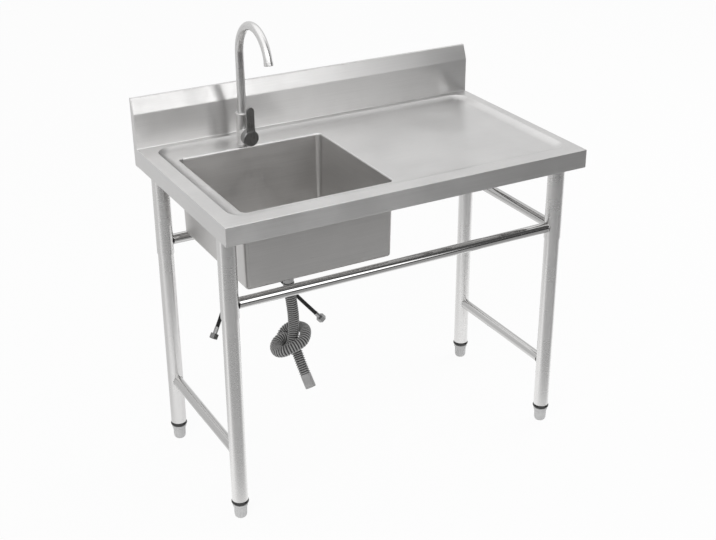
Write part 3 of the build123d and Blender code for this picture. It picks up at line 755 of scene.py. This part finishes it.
hose_braid, tree, shader = new_material("black_braid")
flat = add_node(tree, "SeparateXYZ", {0: add_node(tree, "TexCoord").outputs["UV"]})
around = times(tree, flat.outputs[0], STRANDS_ROUND * math.pi)
along = times(tree, flat.outputs[1], STRANDS_ROUND * math.pi)
waves = [math_node(tree, "SINE", math_node(tree, way, around, along)) for way in ("ADD", "SUBTRACT")]
plait = math_node(tree, "ABSOLUTE", times(tree, *waves))
feed(tree, shader, {
    "Base Color": grey(tree, ramp_between(tree, plait, 0.0, 0.8, 0.003, 0.016)),
    "Roughness": ramp_between(tree, plait, 0.0, 1.0, 0.62, 0.38),
    "Normal": bump(tree, plait, 0.8, 0.0005),
    "Specular IOR Level": 0.25,
})
print("all finishes", len(bpy.data.materials))

# %% [markdown]
# ## The worktop
# On the real unit the worktop is one sheet. Its middle is pressed down into a shallow recess, three
# edges are folded down as aprons and in again as lips, and the fourth is folded up as the backsplash.
# It could be cut out of a block, but then every bend would be a sharp corner. Drawing the skin of the
# sheet and giving it its thickness at the end keeps each bend round inside and out, as folding does.
#
# The side of the recess is an S in section: a small round edge, then one long hollow that runs out
# into the floor. Both turn by one angle, and the tangent of half of it is the drop over the width.

# %% Press the recess
SHEET = 1.2
BEND = 1.5
RIM_HEIGHT = 838.0
FRONT = -295.0
REAR = 295.0
SPLASH_FACE = 271.0
HALF_LENGTH = 500.0
RECESS_WIDTH = 28.0
RECESS_DROP = 8.0
RECESS_EDGE = 3.0
OPENING_ROLL = 3.2
FLOOR_HEIGHT = RIM_HEIGHT - RECESS_DROP
RECESS_RIM = (-462.0, 477.0, -253.0, 254.0, 45.0, RIM_HEIGHT)
BOWL_MOUTH = (-424.0, -24.0, -219.0, 176.0, 14.0, FLOOR_HEIGHT)
TAP_PLACE = (-231.0, 206.0)
TAP_HOLE = 14.5

recess_turn = 2 * math.atan(RECESS_DROP / RECESS_WIDTH)
hollow_radius = RECESS_WIDTH / math.sin(recess_turn) - RECESS_EDGE
recess_angle = math.degrees(recess_turn)
hollow_centre = (RECESS_WIDTH, RECESS_DROP - hollow_radius)
recess_steps = arc((0, RECESS_EDGE), RECESS_EDGE, -90, recess_angle - 90, 3)
recess_steps += arc(hollow_centre, hollow_radius, 90 + recess_angle * 7 / 8, 90, 7)
recess_loops = [grown(RECESS_RIM, -inward, -drop) for inward, drop in recess_steps]
roll_loops = [
    grown(BOWL_MOUTH, OPENING_ROLL - inward, -drop)
    for inward, drop in arc((0, OPENING_ROLL), OPENING_ROLL, -90, 0, 3)
]

worktop = start_sheet()
press(recess_loops)
press(roll_loops)
tap_hole = add_hole(*TAP_PLACE, TAP_HOLE, FLOOR_HEIGHT)
pick_loops(recess_loops[-1], roll_loops[0], tap_hole)
bpy.ops.mesh.fill(use_beauty=True)
print("recess turn", round(recess_angle, 1), "degrees, hollow radius", round(hollow_radius, 1))

# %% [markdown]
# The rim round the recess is flat, and its outer edges are where the folding starts. Each fold is an
# extrude in four short steps down a quarter circle. Scaling about the middle of the rear edge pushes
# the front and both sides out together. The two front corners are welded and ground on the real unit,
# so they start as small arcs, and every extrude carries the arcs down with it.

# %% Fold the aprons and their lips
APRON = 48.0
LIP = 6.0
CORNER = 2.0
BEND_STEPS = 4


def fold_path():
    """How far out and down the sheet's skin lies, from the rim's edge to the end of the lip."""
    upper_bend = arc((0, BEND), BEND, -90, 0, BEND_STEPS)[1:]
    lower_bend = arc((0, APRON - BEND), BEND, 0, 90, BEND_STEPS)
    return upper_bend + lower_bend + [(BEND - SHEET - LIP, APRON)]


edge_x = HALF_LENGTH - BEND
edge_y = FRONT + BEND
add_loop((-edge_x, edge_x, edge_y, SPLASH_FACE, 0, RIM_HEIGHT))
pick("VERT", lambda vertex: abs(vertex.co.y / MM - edge_y) < 0.01 and not vertex.link_faces)
bpy.ops.mesh.bevel(offset=CORNER * MM, segments=4, affect="VERTICES")
pick("EDGE", lambda edge: level(edge, RIM_HEIGHT))
bpy.ops.mesh.fill(use_beauty=True)
pick("EDGE", lambda edge: edge.is_boundary and level(edge, RIM_HEIGHT)
     and not all(vertex.co.y / MM > SPLASH_FACE - 0.1 for vertex in edge.verts))
out, drop = 0.0, 0.0
for next_out, next_drop in fold_path():
    extrude(0, 0, drop - next_drop)
    wider = (edge_x + next_out) / (edge_x + out)
    deeper = (SPLASH_FACE - edge_y + next_out) / (SPLASH_FACE - edge_y + out)
    rear_middle = (0, SPLASH_FACE * MM, (RIM_HEIGHT - next_drop) * MM)
    bpy.ops.transform.resize(value=(wider, deeper, 1), center_override=rear_middle)
    out, drop = next_out, next_drop
print("aprons", APRON, "mm deep")

# %% [markdown]
# The backsplash is pulled up from the rear edge in four runs: up, back along the slope, level along the
# ledge, and down again behind. Only then are its bends rounded, since a bevel needs both faces.

# %% Fold the backsplash
SPLASH_BEND_HEIGHT = 93.0
SPLASH_HEIGHT = 132.0
SPLASH_LEDGE = 8.5
SPLASH_RETURN = 25.0
COVE = 3.0
SPLASH_ROUNDS = (COVE, 2.5, 1.8, 1.8)


def along_fold(edge, y, z):
    """Whether an edge lies on a fold of the backsplash."""
    return all(abs(vertex.co.y / MM - y) < 0.05 for vertex in edge.verts) and level(edge, z, 0.05)


splash_runs = [
    (0, SPLASH_BEND_HEIGHT),
    (REAR - SPLASH_LEDGE - SPLASH_FACE, SPLASH_HEIGHT - SPLASH_BEND_HEIGHT),
    (SPLASH_LEDGE, 0),
    (0, -SPLASH_RETURN),
]
pick("EDGE", lambda edge: along_fold(edge, SPLASH_FACE, RIM_HEIGHT))
splash_folds = [(SPLASH_FACE, RIM_HEIGHT)]
for back, rise in splash_runs:
    extrude(0, back, rise)
    y, z = splash_folds[-1]
    splash_folds.append((y + back, z + rise))
face_up(FLOOR_HEIGHT)
for (y, z), radius in zip(splash_folds, SPLASH_ROUNDS):
    pick("EDGE", lambda edge: along_fold(edge, y, z))
    bpy.ops.mesh.bevel(offset=radius * MM, offset_type="OFFSET", segments=4, affect="EDGES")
close_edit()
thicken(worktop, SHEET, use_even_offset=True)
settle(worktop, "worktop_sheet", "sink_unit", "sheet_steel", sheet_steel, "worktop")

# %% [markdown]
# The back of the tray is closed by a strip of the same sheet, welded under the backsplash and folded
# in at its foot. It only shows from behind.

# %% Close the back of the tray
STRIP_FACE = SPLASH_FACE - 0.05
STRIP_GAP = 0.4

select_none()
bpy.ops.mesh.primitive_plane_add(size=1, enter_editmode=True)
rear_strip = bpy.context.object
bpy.ops.transform.resize(value=(2 * edge_x * MM, APRON * MM, 1), center_override=(0, 0, 0))
bpy.ops.transform.rotate(value=math.pi / 2, orient_axis="X", center_override=(0, 0, 0))
strip_middle = RIM_HEIGHT - SHEET - APRON / 2 - STRIP_GAP
bpy.ops.transform.translate(value=(0, STRIP_FACE * MM, strip_middle * MM))
bpy.ops.mesh.select_all(action="SELECT")
mesh = bmesh.from_edit_mesh(rear_strip.data)
mesh.faces.ensure_lookup_table()
if mesh.faces[0].normal.y < 0:
    bpy.ops.mesh.flip_normals()
strip_foot = min(vertex.co.z for vertex in mesh.verts) / MM
pick("EDGE", lambda edge: level(edge, strip_foot))
extrude(0, -(LIP + SHEET), 0)
close_edit()
thicken(rear_strip, SHEET, use_even_offset=True)
round_edges(rear_strip, 0.4, segments=2, angle=40)
settle(rear_strip, "rear_apron", "sink_unit", "sheet_steel", sheet_steel)

# %% [markdown]
# ## The bowl
# The bowl is deep-drawn: its walls lean in by a little over one degree, its corners are tight, and wall
# and floor meet in an arc. It hangs from a flange that is welded under the worktop. The walls are
# pressed like the recess, loop under loop, and the outlet is a round hole in the middle of the floor.

# %% Draw the bowl
BOWL_TOP = FLOOR_HEIGHT - SHEET
BOWL_FLANGE = 6.5
BOWL_BOTTOM = BOWL_TOP - 200.0
BOWL_TAPER = math.radians(1.3)
BOWL_FLOOR_RADIUS = 8.0
DRAIN_HOLE = 43.3
WALL_START = 0.03

wall_end = BOWL_BOTTOM + BOWL_FLOOR_RADIUS
wall = BOWL_TOP - wall_end
lean = math.tan(BOWL_TAPER) * wall
bowl_steps = [(-SHEET - BOWL_FLANGE, BOWL_TOP)]
bowl_steps += arc((-OPENING_ROLL, BOWL_TOP - OPENING_ROLL), OPENING_ROLL, 90, 0, 3)
bowl_steps += [(lean * WALL_START, BOWL_TOP - wall * WALL_START)]
bowl_steps += arc((lean + BOWL_FLOOR_RADIUS, wall_end), BOWL_FLOOR_RADIUS, 180, 270, 8)
bowl_loops = [grown(BOWL_MOUTH, -inward, z - FLOOR_HEIGHT) for inward, z in bowl_steps]

bowl = start_sheet()
press(bowl_loops)
bowl_x, bowl_y = (BOWL_MOUTH[0] + BOWL_MOUTH[1]) / 2, (BOWL_MOUTH[2] + BOWL_MOUTH[3]) / 2
drain_hole = add_hole(bowl_x, bowl_y, DRAIN_HOLE, BOWL_BOTTOM)
pick_loops(bowl_loops[-1], drain_hole)
bpy.ops.mesh.fill(use_beauty=True)
face_up(BOWL_BOTTOM)
close_edit()
thicken(bowl, SHEET, use_even_offset=True)
settle(bowl, "bowl_shell", "sink_unit", "bowl_steel", bowl_steel, "bowl")

# %% [markdown]
# ## The stand
# Each leg is in two lengths: a wider sleeve that stays under the worktop, and a leg that slides up
# into it. Both are plain tube, turned here with a small round at each cut end, and copied to the four
# corners. The corners are read from the frame, so the copies stand where the CAD model has them.

# %% Turn the sleeves and the legs
SLEEVE_RADIUS = 22.5
LEG_RADIUS = 20.65
TUBE_WALL = 1.2
CORNERS = ("front_left", "front_right", "back_left", "back_right")


def node_middle(node):
    """Middle of a CAD node's box in millimetres."""
    low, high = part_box(node)
    return (Vector(low) + Vector(high)) / 2 / MM


def node_heights(node):
    low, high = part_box(node)
    return low[2] / MM, high[2] / MM


def tube_section(radius, wall, start, end):
    """Section of a tube with rounded cut ends."""
    soft = wall / 3
    return [
        (radius - wall, start), (radius - soft, start), (radius, start + soft),
        (radius, start + 4 * soft), (radius, end - 4 * soft), (radius, end - soft),
        (radius - soft, end), (radius - wall, end),
    ]


def twin(piece, shift):
    """Copy a piece with a mesh of its own, moved by a shift in millimetres."""
    copy = piece.copy()
    copy.data = piece.data.copy()
    bpy.context.scene.collection.objects.link(copy)
    copy.location = piece.location + shift * MM
    return copy


def at_corners(first, node_stem, name_stem, body, slot, material):
    """Copy a piece made for the front left corner to all four, and finish each."""
    start = node_middle(f"{node_stem}_front_left")
    shifts = [node_middle(f"{node_stem}_{corner}") - start for corner in CORNERS[1:]]
    pieces = [first] + [twin(first, shift) for shift in shifts]
    for piece, corner in zip(pieces, CORNERS):
        rider = body.format(corner=corner)
        settle(piece, f"{name_stem}_{corner}", rider, slot, material, f"{node_stem}_{corner}")


leg_middle = node_middle("leg_front_left")
leg_place = (leg_middle.x, leg_middle.y)
for node, name, radius in (("sleeve", "upper_leg", SLEEVE_RADIUS), ("leg", "lower_leg", LEG_RADIUS)):
    section = tube_section(radius, TUBE_WALL, *node_heights(f"{node}_front_left"))
    tube = turn(section, leg_place, sides=FINE_SIDES, bored=True)
    at_corners(tube, node, name, "sink_unit", "tube_steel", leg_steel)

# %% [markdown]
# A rail is a tube whose ends are cut to the round of the uprights that it is welded to. Here the tube
# is turned from upright to upright, and every point of its two end rings is then slid along the rail
# until it lies on the upright. A thin weld bead follows the same line: a ring, slid in the same way.

# %% Cut and weld the rails
RAIL_RADIUS = 14.0
BEAD_RADIUS = 1.1
BEAD_SIDES = 72


def seat_on_post(sideways, post_radius):
    """How far from a post's axis a point lies that touches it, off the axis by sideways."""
    return math.sqrt(max(post_radius ** 2 - sideways ** 2, 0))


def rail(node, first, last, post_radius):
    """Tube and two beads between two uprights, first and last given as nodes."""
    start, end = node_middle(first), node_middle(last)
    height = node_middle(node).z
    start.z = end.z = height
    span = (end - start).length
    grip = post_radius / 2
    section = [
        (RAIL_RADIUS - TUBE_WALL, grip), (RAIL_RADIUS, grip), (RAIL_RADIUS, post_radius + 3),
        (RAIL_RADIUS, span - post_radius - 3), (RAIL_RADIUS, span - grip),
        (RAIL_RADIUS - TUBE_WALL, span - grip),
    ]
    tube = turn(section, bored=True)
    for vertex in tube.data.vertices:
        seat = seat_on_post(vertex.co.y / MM, post_radius) * MM
        if vertex.co.z / MM < post_radius + 1:
            vertex.co.z = seat
        elif vertex.co.z / MM > span - post_radius - 1:
            vertex.co.z = span * MM - seat
    beads = []
    for side, base in ((1, 0.0), (-1, span)):
        select_none()
        bpy.ops.mesh.primitive_torus_add(
            major_segments=BEAD_SIDES, minor_segments=8,
            major_radius=RAIL_RADIUS * MM, minor_radius=BEAD_RADIUS * MM,
        )
        bead = bpy.context.object
        for vertex in bead.data.vertices:
            vertex.co.z += (base + side * seat_on_post(vertex.co.y / MM, post_radius)) * MM
        beads.append(bead)
    lean = (end - start).to_track_quat("Z", "Y")
    for piece in (tube, *beads):
        piece.rotation_euler = lean.to_euler()
        piece.location = start * MM
    settle(tube, f"{node}_tube", "sink_unit", "rail_steel", rail_steel, node)
    for number, bead in enumerate(beads, 1):
        settle(bead, f"{node}_weld_{number}", "sink_unit", "rail_steel", rail_steel)


rail("front_rail", "sleeve_front_left", "sleeve_front_right", SLEEVE_RADIUS)
rail("back_rail", "sleeve_back_left", "sleeve_back_right", SLEEVE_RADIUS)
rail("side_rail", "sleeve_front_right", "sleeve_back_right", SLEEVE_RADIUS)
rail("lower_rail_left", "leg_front_left", "leg_back_left", LEG_RADIUS)
rail("lower_rail_right", "leg_front_right", "leg_back_right", LEG_RADIUS)

# %% [markdown]
# The foot of each leg is two mouldings. A black plug fills the tube's end and bulges out under it as a
# ring. Under the ring hangs the grey foot, a bullet with a collar, and its threaded stem screws up
# through the plug. The thread shows when the foot is screwed out, so it is turned ridge by ridge.

# %% Turn the plugs and the feet
FOOT_TOP = 41.7
FOOT_SIDES = 48
STEM_TOP = FOOT_TOP + 53.0
STEM_RADIUS = 5.0
THREAD_PITCH = 1.5
THREAD_DEPTH = 0.7
RING_LOW = 42.0
RING_HIGH = 53.0
PLUG_RADIUS = 19.15
PLUG_BORE = STEM_RADIUS + 0.06
GRIPS = 12
GRIP_DEPTH = 0.45

ring_section = [(PLUG_BORE, RING_LOW), (18.2, RING_LOW)]
ring_section += arc((17.0, (RING_LOW + RING_HIGH) / 2), 5.5, -75, 75, 10)
ring_section += [
    (PLUG_RADIUS, RING_HIGH), (PLUG_RADIUS, RING_HIGH + 29), (PLUG_RADIUS - 1, RING_HIGH + 30),
    (PLUG_BORE, RING_HIGH + 30),
]
plug = turn(ring_section, leg_place, sides=FINE_SIDES, bored=True)
at_corners(plug, "leg_insert", "leg_plug", "sink_unit", "black_plastic", ring_plastic)

foot_section = [
    (9.0, 0.0), (11.2, 0.25), (13.0, 1.2), (14.6, 3.2), (15.6, 5.8), (16.2, 9.0), (16.25, 9.6),
    (16.95, 33.6), (17.0, 34.3), (17.4, 34.9), (18.6, 35.1), (19.2, 35.5), (19.5, 36.3),
    (19.5, 40.6), (19.2, 41.4), (18.5, FOOT_TOP), (STEM_RADIUS, FOOT_TOP),
]
for ridge in range(int((STEM_TOP - FOOT_TOP) / THREAD_PITCH)):
    base = FOOT_TOP + ridge * THREAD_PITCH
    foot_section.append((STEM_RADIUS - THREAD_DEPTH, base + THREAD_PITCH / 2))
    foot_section.append((STEM_RADIUS, base + THREAD_PITCH))
foot = turn(foot_section, leg_place, sides=FOOT_SIDES)


def in_grip(face):
    """Whether a face is one of the tall ones that become the finger grooves."""
    middle = face.calc_center_median().z / MM
    if not 15 < middle < 30 or abs(face.normal.z) > 0.5:
        return False
    side = math.atan2(face.normal.y, face.normal.x) / (2 * math.pi) * FOOT_SIDES
    return round(side - 0.5) % (FOOT_SIDES // GRIPS) == 0


edit(foot)
pick("FACE", in_grip)
bpy.ops.mesh.inset(thickness=0.5 * MM, depth=-GRIP_DEPTH * MM)
close_edit()
at_corners(foot, "foot", "bullet_foot", "screw_foot_{corner}", "foot_plastic", foot_plastic)

# %% [markdown]
# ## The drain
# Under the bowl hang a lock nut and a coupling nut, and from them the hose. Its corrugations are blown
# in a mould, all alike, so one rib is modelled and an Array repeats it. The straight row of ribs is then
# bent by a Curve modifier along the same line that was laid at the start. Both ends are plain cuffs.

# %% Blow the corrugated hose
HOSE_CREST = 15.0
HOSE_ROOT = 12.5
HOSE_SIDES = 32
HOSE_WALL = 1.1
FREE_CUFF = 40.0
FIXED_CUFF = 28.0
RIB_PITCH = 6.3
CUFF_RADIUS = 14.4
RIB_START = HOSE_ROOT - 0.1

hose_length = line_length(drain_points) / MM
rib_count = round((hose_length - FREE_CUFF - FIXED_CUFF) / RIB_PITCH)
pitch = (hose_length - FREE_CUFF - FIXED_CUFF) / rib_count
rib_rings = [
    (HOSE_ROOT, 0.18), (HOSE_CREST - 0.5, 0.32), (HOSE_CREST, 0.42), (HOSE_CREST, 0.58),
    (HOSE_CREST - 0.5, 0.68), (HOSE_ROOT, 0.82), (RIB_START, 1.0),
]
rib_section = [(RIB_START, FIXED_CUFF)]
rib_section += [(radius, FIXED_CUFF + share * pitch) for radius, share in rib_rings]
hose = start_ring(*rib_section[0], sides=HOSE_SIDES)
raise_rings(rib_section)
close_edit()
place_in_mesh()
modify(
    hose, "ARRAY", count=rib_count, use_relative_offset=False, use_constant_offset=True,
    constant_offset_displace=(0, 0, pitch * MM), use_merge_vertices=True, merge_threshold=0.02 * MM,
)


def extend_end(section):
    """In edit mode, draw the open end at the section's first point out to the others."""
    pick("EDGE", lambda edge: level(edge, section[0][1], 0.05))
    raise_rings(section)


cuff_start = hose_length - FREE_CUFF
free_cuff = [(RIB_START, cuff_start), (14.3, cuff_start + 1.0)]
free_cuff += [(CUFF_RADIUS, cuff_start + 1.0 + (FREE_CUFF - 2.0) * step / 6) for step in range(1, 7)]
free_cuff += [(14.3, hose_length - 0.4), (14.0, hose_length)]
fixed_cuff = [(CUFF_RADIUS, FIXED_CUFF * (1 - step / 8)) for step in range(1, 9)]
edit(hose)
extend_end(free_cuff)
extend_end([(RIB_START, FIXED_CUFF)] + fixed_cuff)
bpy.ops.mesh.select_all(action="SELECT")
bpy.ops.mesh.normals_make_consistent(inside=False)
mesh = bmesh.from_edit_mesh(hose.data)
if sum(face.normal.xy.dot(face.calc_center_median().xy) for face in mesh.faces) < 0:
    bpy.ops.mesh.flip_normals()
close_edit()
print("ribs", rib_count, "at", round(pitch, 2), "mm")

# %% [markdown]
# The straight hose is the place to note which points lie in a groove, since a radius is easy to read
# there. Only then does it get its wall and its bends.

# %% Mark the grooves and bend the hose
# The mark weights the painted shade that the hose's finish lays in its grooves.
groove_shade = hose.data.attributes.new("groove_shade", "FLOAT", "POINT")
for vertex, mark in zip(hose.data.vertices, groove_shade.data):
    along_ribs = FIXED_CUFF - 0.5 < vertex.co.z / MM < cuff_start + 0.5
    radius = math.hypot(vertex.co.x, vertex.co.y) / MM
    mark.value = (HOSE_CREST - radius) / (HOSE_CREST - HOSE_ROOT) if along_ribs else 0.0
thicken(hose, HOSE_WALL)
modify(hose, "CURVE", object=drain_line, deform_axis="POS_Z")
settle(hose, "corrugated_hose", "sink_unit", "hose_plastic", hose_plastic, "drain_hose")

# %% [markdown]
# ## The supply hoses
# Each is a plain tube of short steps, laid out straight first. That is the moment to give it its UV
# map: once round across, and one step up for each girth of length. The Curve modifier then bends the
# tube and takes the map with it, so the plait follows every turn.

# %% Plait the supply hoses
SUPPLY_RADIUS = 5.5
SUPPLY_STEP = 4.0


def map_plait(hose):
    """Give a straight hose its UV map."""
    plait = hose.data.uv_layers.new(name="plait")
    girth = 2 * math.pi * SUPPLY_RADIUS * MM
    for face in hose.data.polygons:
        middle = math.atan2(face.center.y, face.center.x) / (2 * math.pi)
        for corner in face.loop_indices:
            place = hose.data.vertices[hose.data.loops[corner].vertex_index].co
            turned = math.atan2(place.y, place.x) / (2 * math.pi)
            plait.data[corner].uv = (turned + round(middle - turned), place.z / girth)


for side, points in supply_points.items():
    length = line_length(points) / MM
    steps = round(length / SUPPLY_STEP)
    hose = turn([(SUPPLY_RADIUS, step * length / steps) for step in range(steps + 1)], sides=24)
    map_plait(hose)
    modify(hose, "CURVE", object=supply_lines[side], deform_axis="POS_Z")
    settle(hose, f"braided_hose_{side}", "sink_unit", "braid", hose_braid, f"supply_hose_{side}")

# %% [markdown]
# The guide lines have done their work. They stand for nothing on the real unit, so they go.

# %% Take the guide lines away
for line in (drain_line, *supply_lines.values()):
    bpy.data.objects.remove(line)
print("guide lines removed")

# %% [markdown]
# ## The tap
# The spout is a tube drawn round a former: a straight run, then an arc of a little under half a turn.
# One circle is extruded up to the start of the arc and spun round the arc's middle. The wall is added
# last, so the outlet stays open.

# %% Bend the spout
SPOUT_RADIUS = 11.0
SPOUT_WALL = 1.5
SPOUT_RISE = 1070.0
SPOUT_ARC = 88.0
SPOUT_TURN = math.radians(166)
SPOUT_LOW = 875.2
SPOUT_STEPS = 72
tap_x, tap_y = TAP_PLACE

spout = start_ring(SPOUT_RADIUS, SPOUT_LOW, TAP_PLACE)
extrude(0, 0, SPOUT_RISE - SPOUT_LOW)
arc_middle = (tap_x * MM, (tap_y - SPOUT_ARC) * MM, SPOUT_RISE * MM)
bpy.ops.mesh.spin(steps=SPOUT_STEPS, angle=-SPOUT_TURN, center=arc_middle, axis=(1, 0, 0))
close_seams()
close_edit()
thicken(spout, SPOUT_WALL)
settle(spout, "gooseneck_spout", "swivel_spout", "tap_metal", tap_nickel, "spout")
print("spout reaches forward to", round(min(vertex.co.y for vertex in spout.data.vertices) / MM, 1))

# %% [markdown]
# The outlet piece is a short ring with a fine groove, screwed on the spout's end. It is turned upright
# at the origin, like every round part, and then tipped by the same angle as the arc.

# %% Turn the outlet piece
OUTLET_PLACE = (
    tap_x, tap_y - SPOUT_ARC * (1 - math.cos(SPOUT_TURN)), SPOUT_RISE + SPOUT_ARC * math.sin(SPOUT_TURN),
)
outlet_section = [
    (8.0, 0.0), (11.2, 0.0), (11.6, 0.3), (11.7, 0.8), (11.7, 2.2), (11.3, 2.5), (11.3, 3.1), (11.7, 3.4),
    (11.7, 9.4), (11.5, 10.0), (11.0, 10.4), (10.4, 10.5), (8.6, 10.5), (8.0, 10.0),
]
outlet = turn(outlet_section, bored=True)
outlet.rotation_euler = (SPOUT_TURN, 0, 0)
outlet.location = Vector(OUTLET_PLACE) * MM
settle(outlet, "outlet_piece", "swivel_spout", "tap_metal", tap_nickel, "aerator")

# %% [markdown]
# The tap's body tapers a little, and ends in a collar with a fine groove under it. The boss that takes
# the cartridge is turned on its own and tipped to the front. Both are then joined, as they are cast in
# one on the real tap. The collar stands 8 mm higher than the CAD model's, as it does in the photo. A
# bored piece cannot start on its own axis, so a tiny radius stands for it.

# %% Turn the tap's body
AXIS = 0.05
BODY_LOW = 833.0
BODY_TOP = 913.0
BOSS_HEIGHT = 857.0
PIVOT_Y = 175.0
PIVOT = Vector((tap_x, PIVOT_Y, BOSS_HEIGHT)) * MM

body_section = [
    (AXIS, BODY_LOW), (15.1, BODY_LOW), (15.5, BODY_LOW + 0.4), (16.1, 866.0), (16.7, BODY_TOP - 5.4),
    (16.2, BODY_TOP - 5.0), (16.2, BODY_TOP - 4.2), (17.1, BODY_TOP - 3.9), (17.4, BODY_TOP - 3.3),
    (17.4, BODY_TOP - 1.6), (17.2, BODY_TOP - 0.8), (16.6, BODY_TOP - 0.2), (15.8, BODY_TOP),
    (11.8, BODY_TOP), (11.2, BODY_TOP - 0.5), (11.2, 875.0), (AXIS, 875.0),
]
tap_body = turn(body_section, TAP_PLACE, sides=FINE_SIDES, bored=True)
boss_section = [
    (14.1, -20.0), (14.1, -6.4), (14.5, -6.0), (16.2, -6.0), (16.8, -6.3), (17.0, -6.9), (17.0, -27.0),
    (16.0, -29.5), (AXIS, -29.5), (AXIS, -20.0),
]
boss = turn(boss_section, sides=FINE_SIDES, bored=True)
boss.rotation_euler = (math.pi / 2, 0, 0)
boss.location = PIVOT
join(tap_body, boss)
settle(tap_body, "tap_casting", "sink_unit", "tap_metal", tap_nickel, "tap_body")

# %% [markdown]
# The lever is a round hub with a flat paddle that stands up from it. The hub is a cup that slides over
# the ball of the ring nut, so its inside is a hollow of the same round. The paddle starts as a rounded
# rectangle; its long sides are cut into short steps, and the lower steps are spread to make the waist.

# %% Shape the lever
HUB_RADIUS = 21.5
HUB_FRONT = 23.0
HUB_ROUND = 3.2
HUB_HOLLOW = 18.9
PADDLE_HALF = 10.5
PADDLE_ROOT = 15.0
PADDLE_LOW = 9.0
PADDLE_TOP = 83.0
PADDLE_WAIST = 36.0
PADDLE_THICK = 6.0
PADDLE_SINK = 0.25
PADDLE_SIDE = 40.0
PADDLE_CUTS = 15
HUB_MERGE = 0.15

hub_section = [(18.8, 2.0), (21.0, 2.0), (21.4, 2.3), (HUB_RADIUS, 2.8)]
hub_section += arc((HUB_RADIUS - HUB_ROUND, HUB_FRONT - HUB_ROUND), HUB_ROUND, 0, 90, 8)
hub_section += [(12.0, HUB_FRONT), (AXIS, HUB_FRONT)]
hub_section += arc((0, 0), HUB_HOLLOW, 89.8, 10, 10)
hub = turn(hub_section, sides=FINE_SIDES, bored=True)
edit(hub)
bpy.ops.mesh.select_all(action="SELECT")
bpy.ops.mesh.remove_doubles(threshold=HUB_MERGE * MM)
close_edit()

paddle = start_sheet()
paddle_front = HUB_FRONT - PADDLE_SINK
add_loop((-PADDLE_HALF, PADDLE_HALF, PADDLE_LOW, PADDLE_TOP, PADDLE_HALF - 0.05, paddle_front))
pick("EDGE", lambda edge: edge.calc_length() > PADDLE_SIDE * MM)
bpy.ops.mesh.subdivide(number_cuts=PADDLE_CUTS)
bpy.ops.mesh.select_all(action="SELECT")
bpy.ops.mesh.fill(use_beauty=True)
close_edit()
for vertex in paddle.data.vertices:
    low = min(max((PADDLE_WAIST - vertex.co.y / MM) / PADDLE_WAIST, 0), 1)
    vertex.co.x *= 1 + (PADDLE_ROOT / PADDLE_HALF - 1) * low ** 1.5
thicken(paddle, PADDLE_THICK - PADDLE_SINK)
if max(vertex.co.z for vertex in paddle.data.vertices) > (HUB_FRONT + 0.1) * MM:
    for vertex in paddle.data.vertices:
        vertex.co.z = 2 * paddle_front * MM - vertex.co.z
round_edges(paddle, 1.5, segments=4, angle=50)
edit(paddle)
close_seams()
close_edit()
join(hub, paddle)
hub.rotation_euler = (math.pi / 2, 0, 0)
hub.location = PIVOT
settle(hub, "lever_handle", "tilting_lever", "lever_metal", lever_dark_reflection_nickel, "lever")

# %% [markdown]
# ## Finishes for the pieces that stay as they are
# The other CAD pieces already have their real shape, so they only get a finish.

# %% Dress the CAD pieces
FINISHES = {
    sheet_steel: ["end_cap_left", "end_cap_right"],
    folded_steel: ["channel_left", "channel_right", "channel_middle"],
    fixing_steel: ["socket_screws", "leg_screws", "tap_washer", "tap_nut"],
    drain_steel: ["drain_flange", "strainer_basket"],
    tap_nickel: ["tap_base_ring", "cartridge_ring"],
    valve_brass: ["tap_shank", "cartridge", "cartridge_spindle", "lever_stem"],
    nut_chrome: ["supply_ferrule_left", "supply_ferrule_right", "supply_nut_left", "supply_nut_right"],
    white_plastic: ["drain_nut", "hose_nut", "hose_tail"] + [f"leg_socket_{corner}" for corner in CORNERS],
    gasket_rubber: ["drain_gasket"],
}
for material, nodes in FINISHES.items():
    for node in nodes:
        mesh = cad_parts[node].data
        mesh.materials.clear()
        mesh.materials.append(material)

# %% [markdown]
# Last, the box round the dressed model is measured and printed.

# %% Measure the dressed model and finish
low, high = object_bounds()
print("dressed box", [round(v, 4) for v in (*low, *high)])
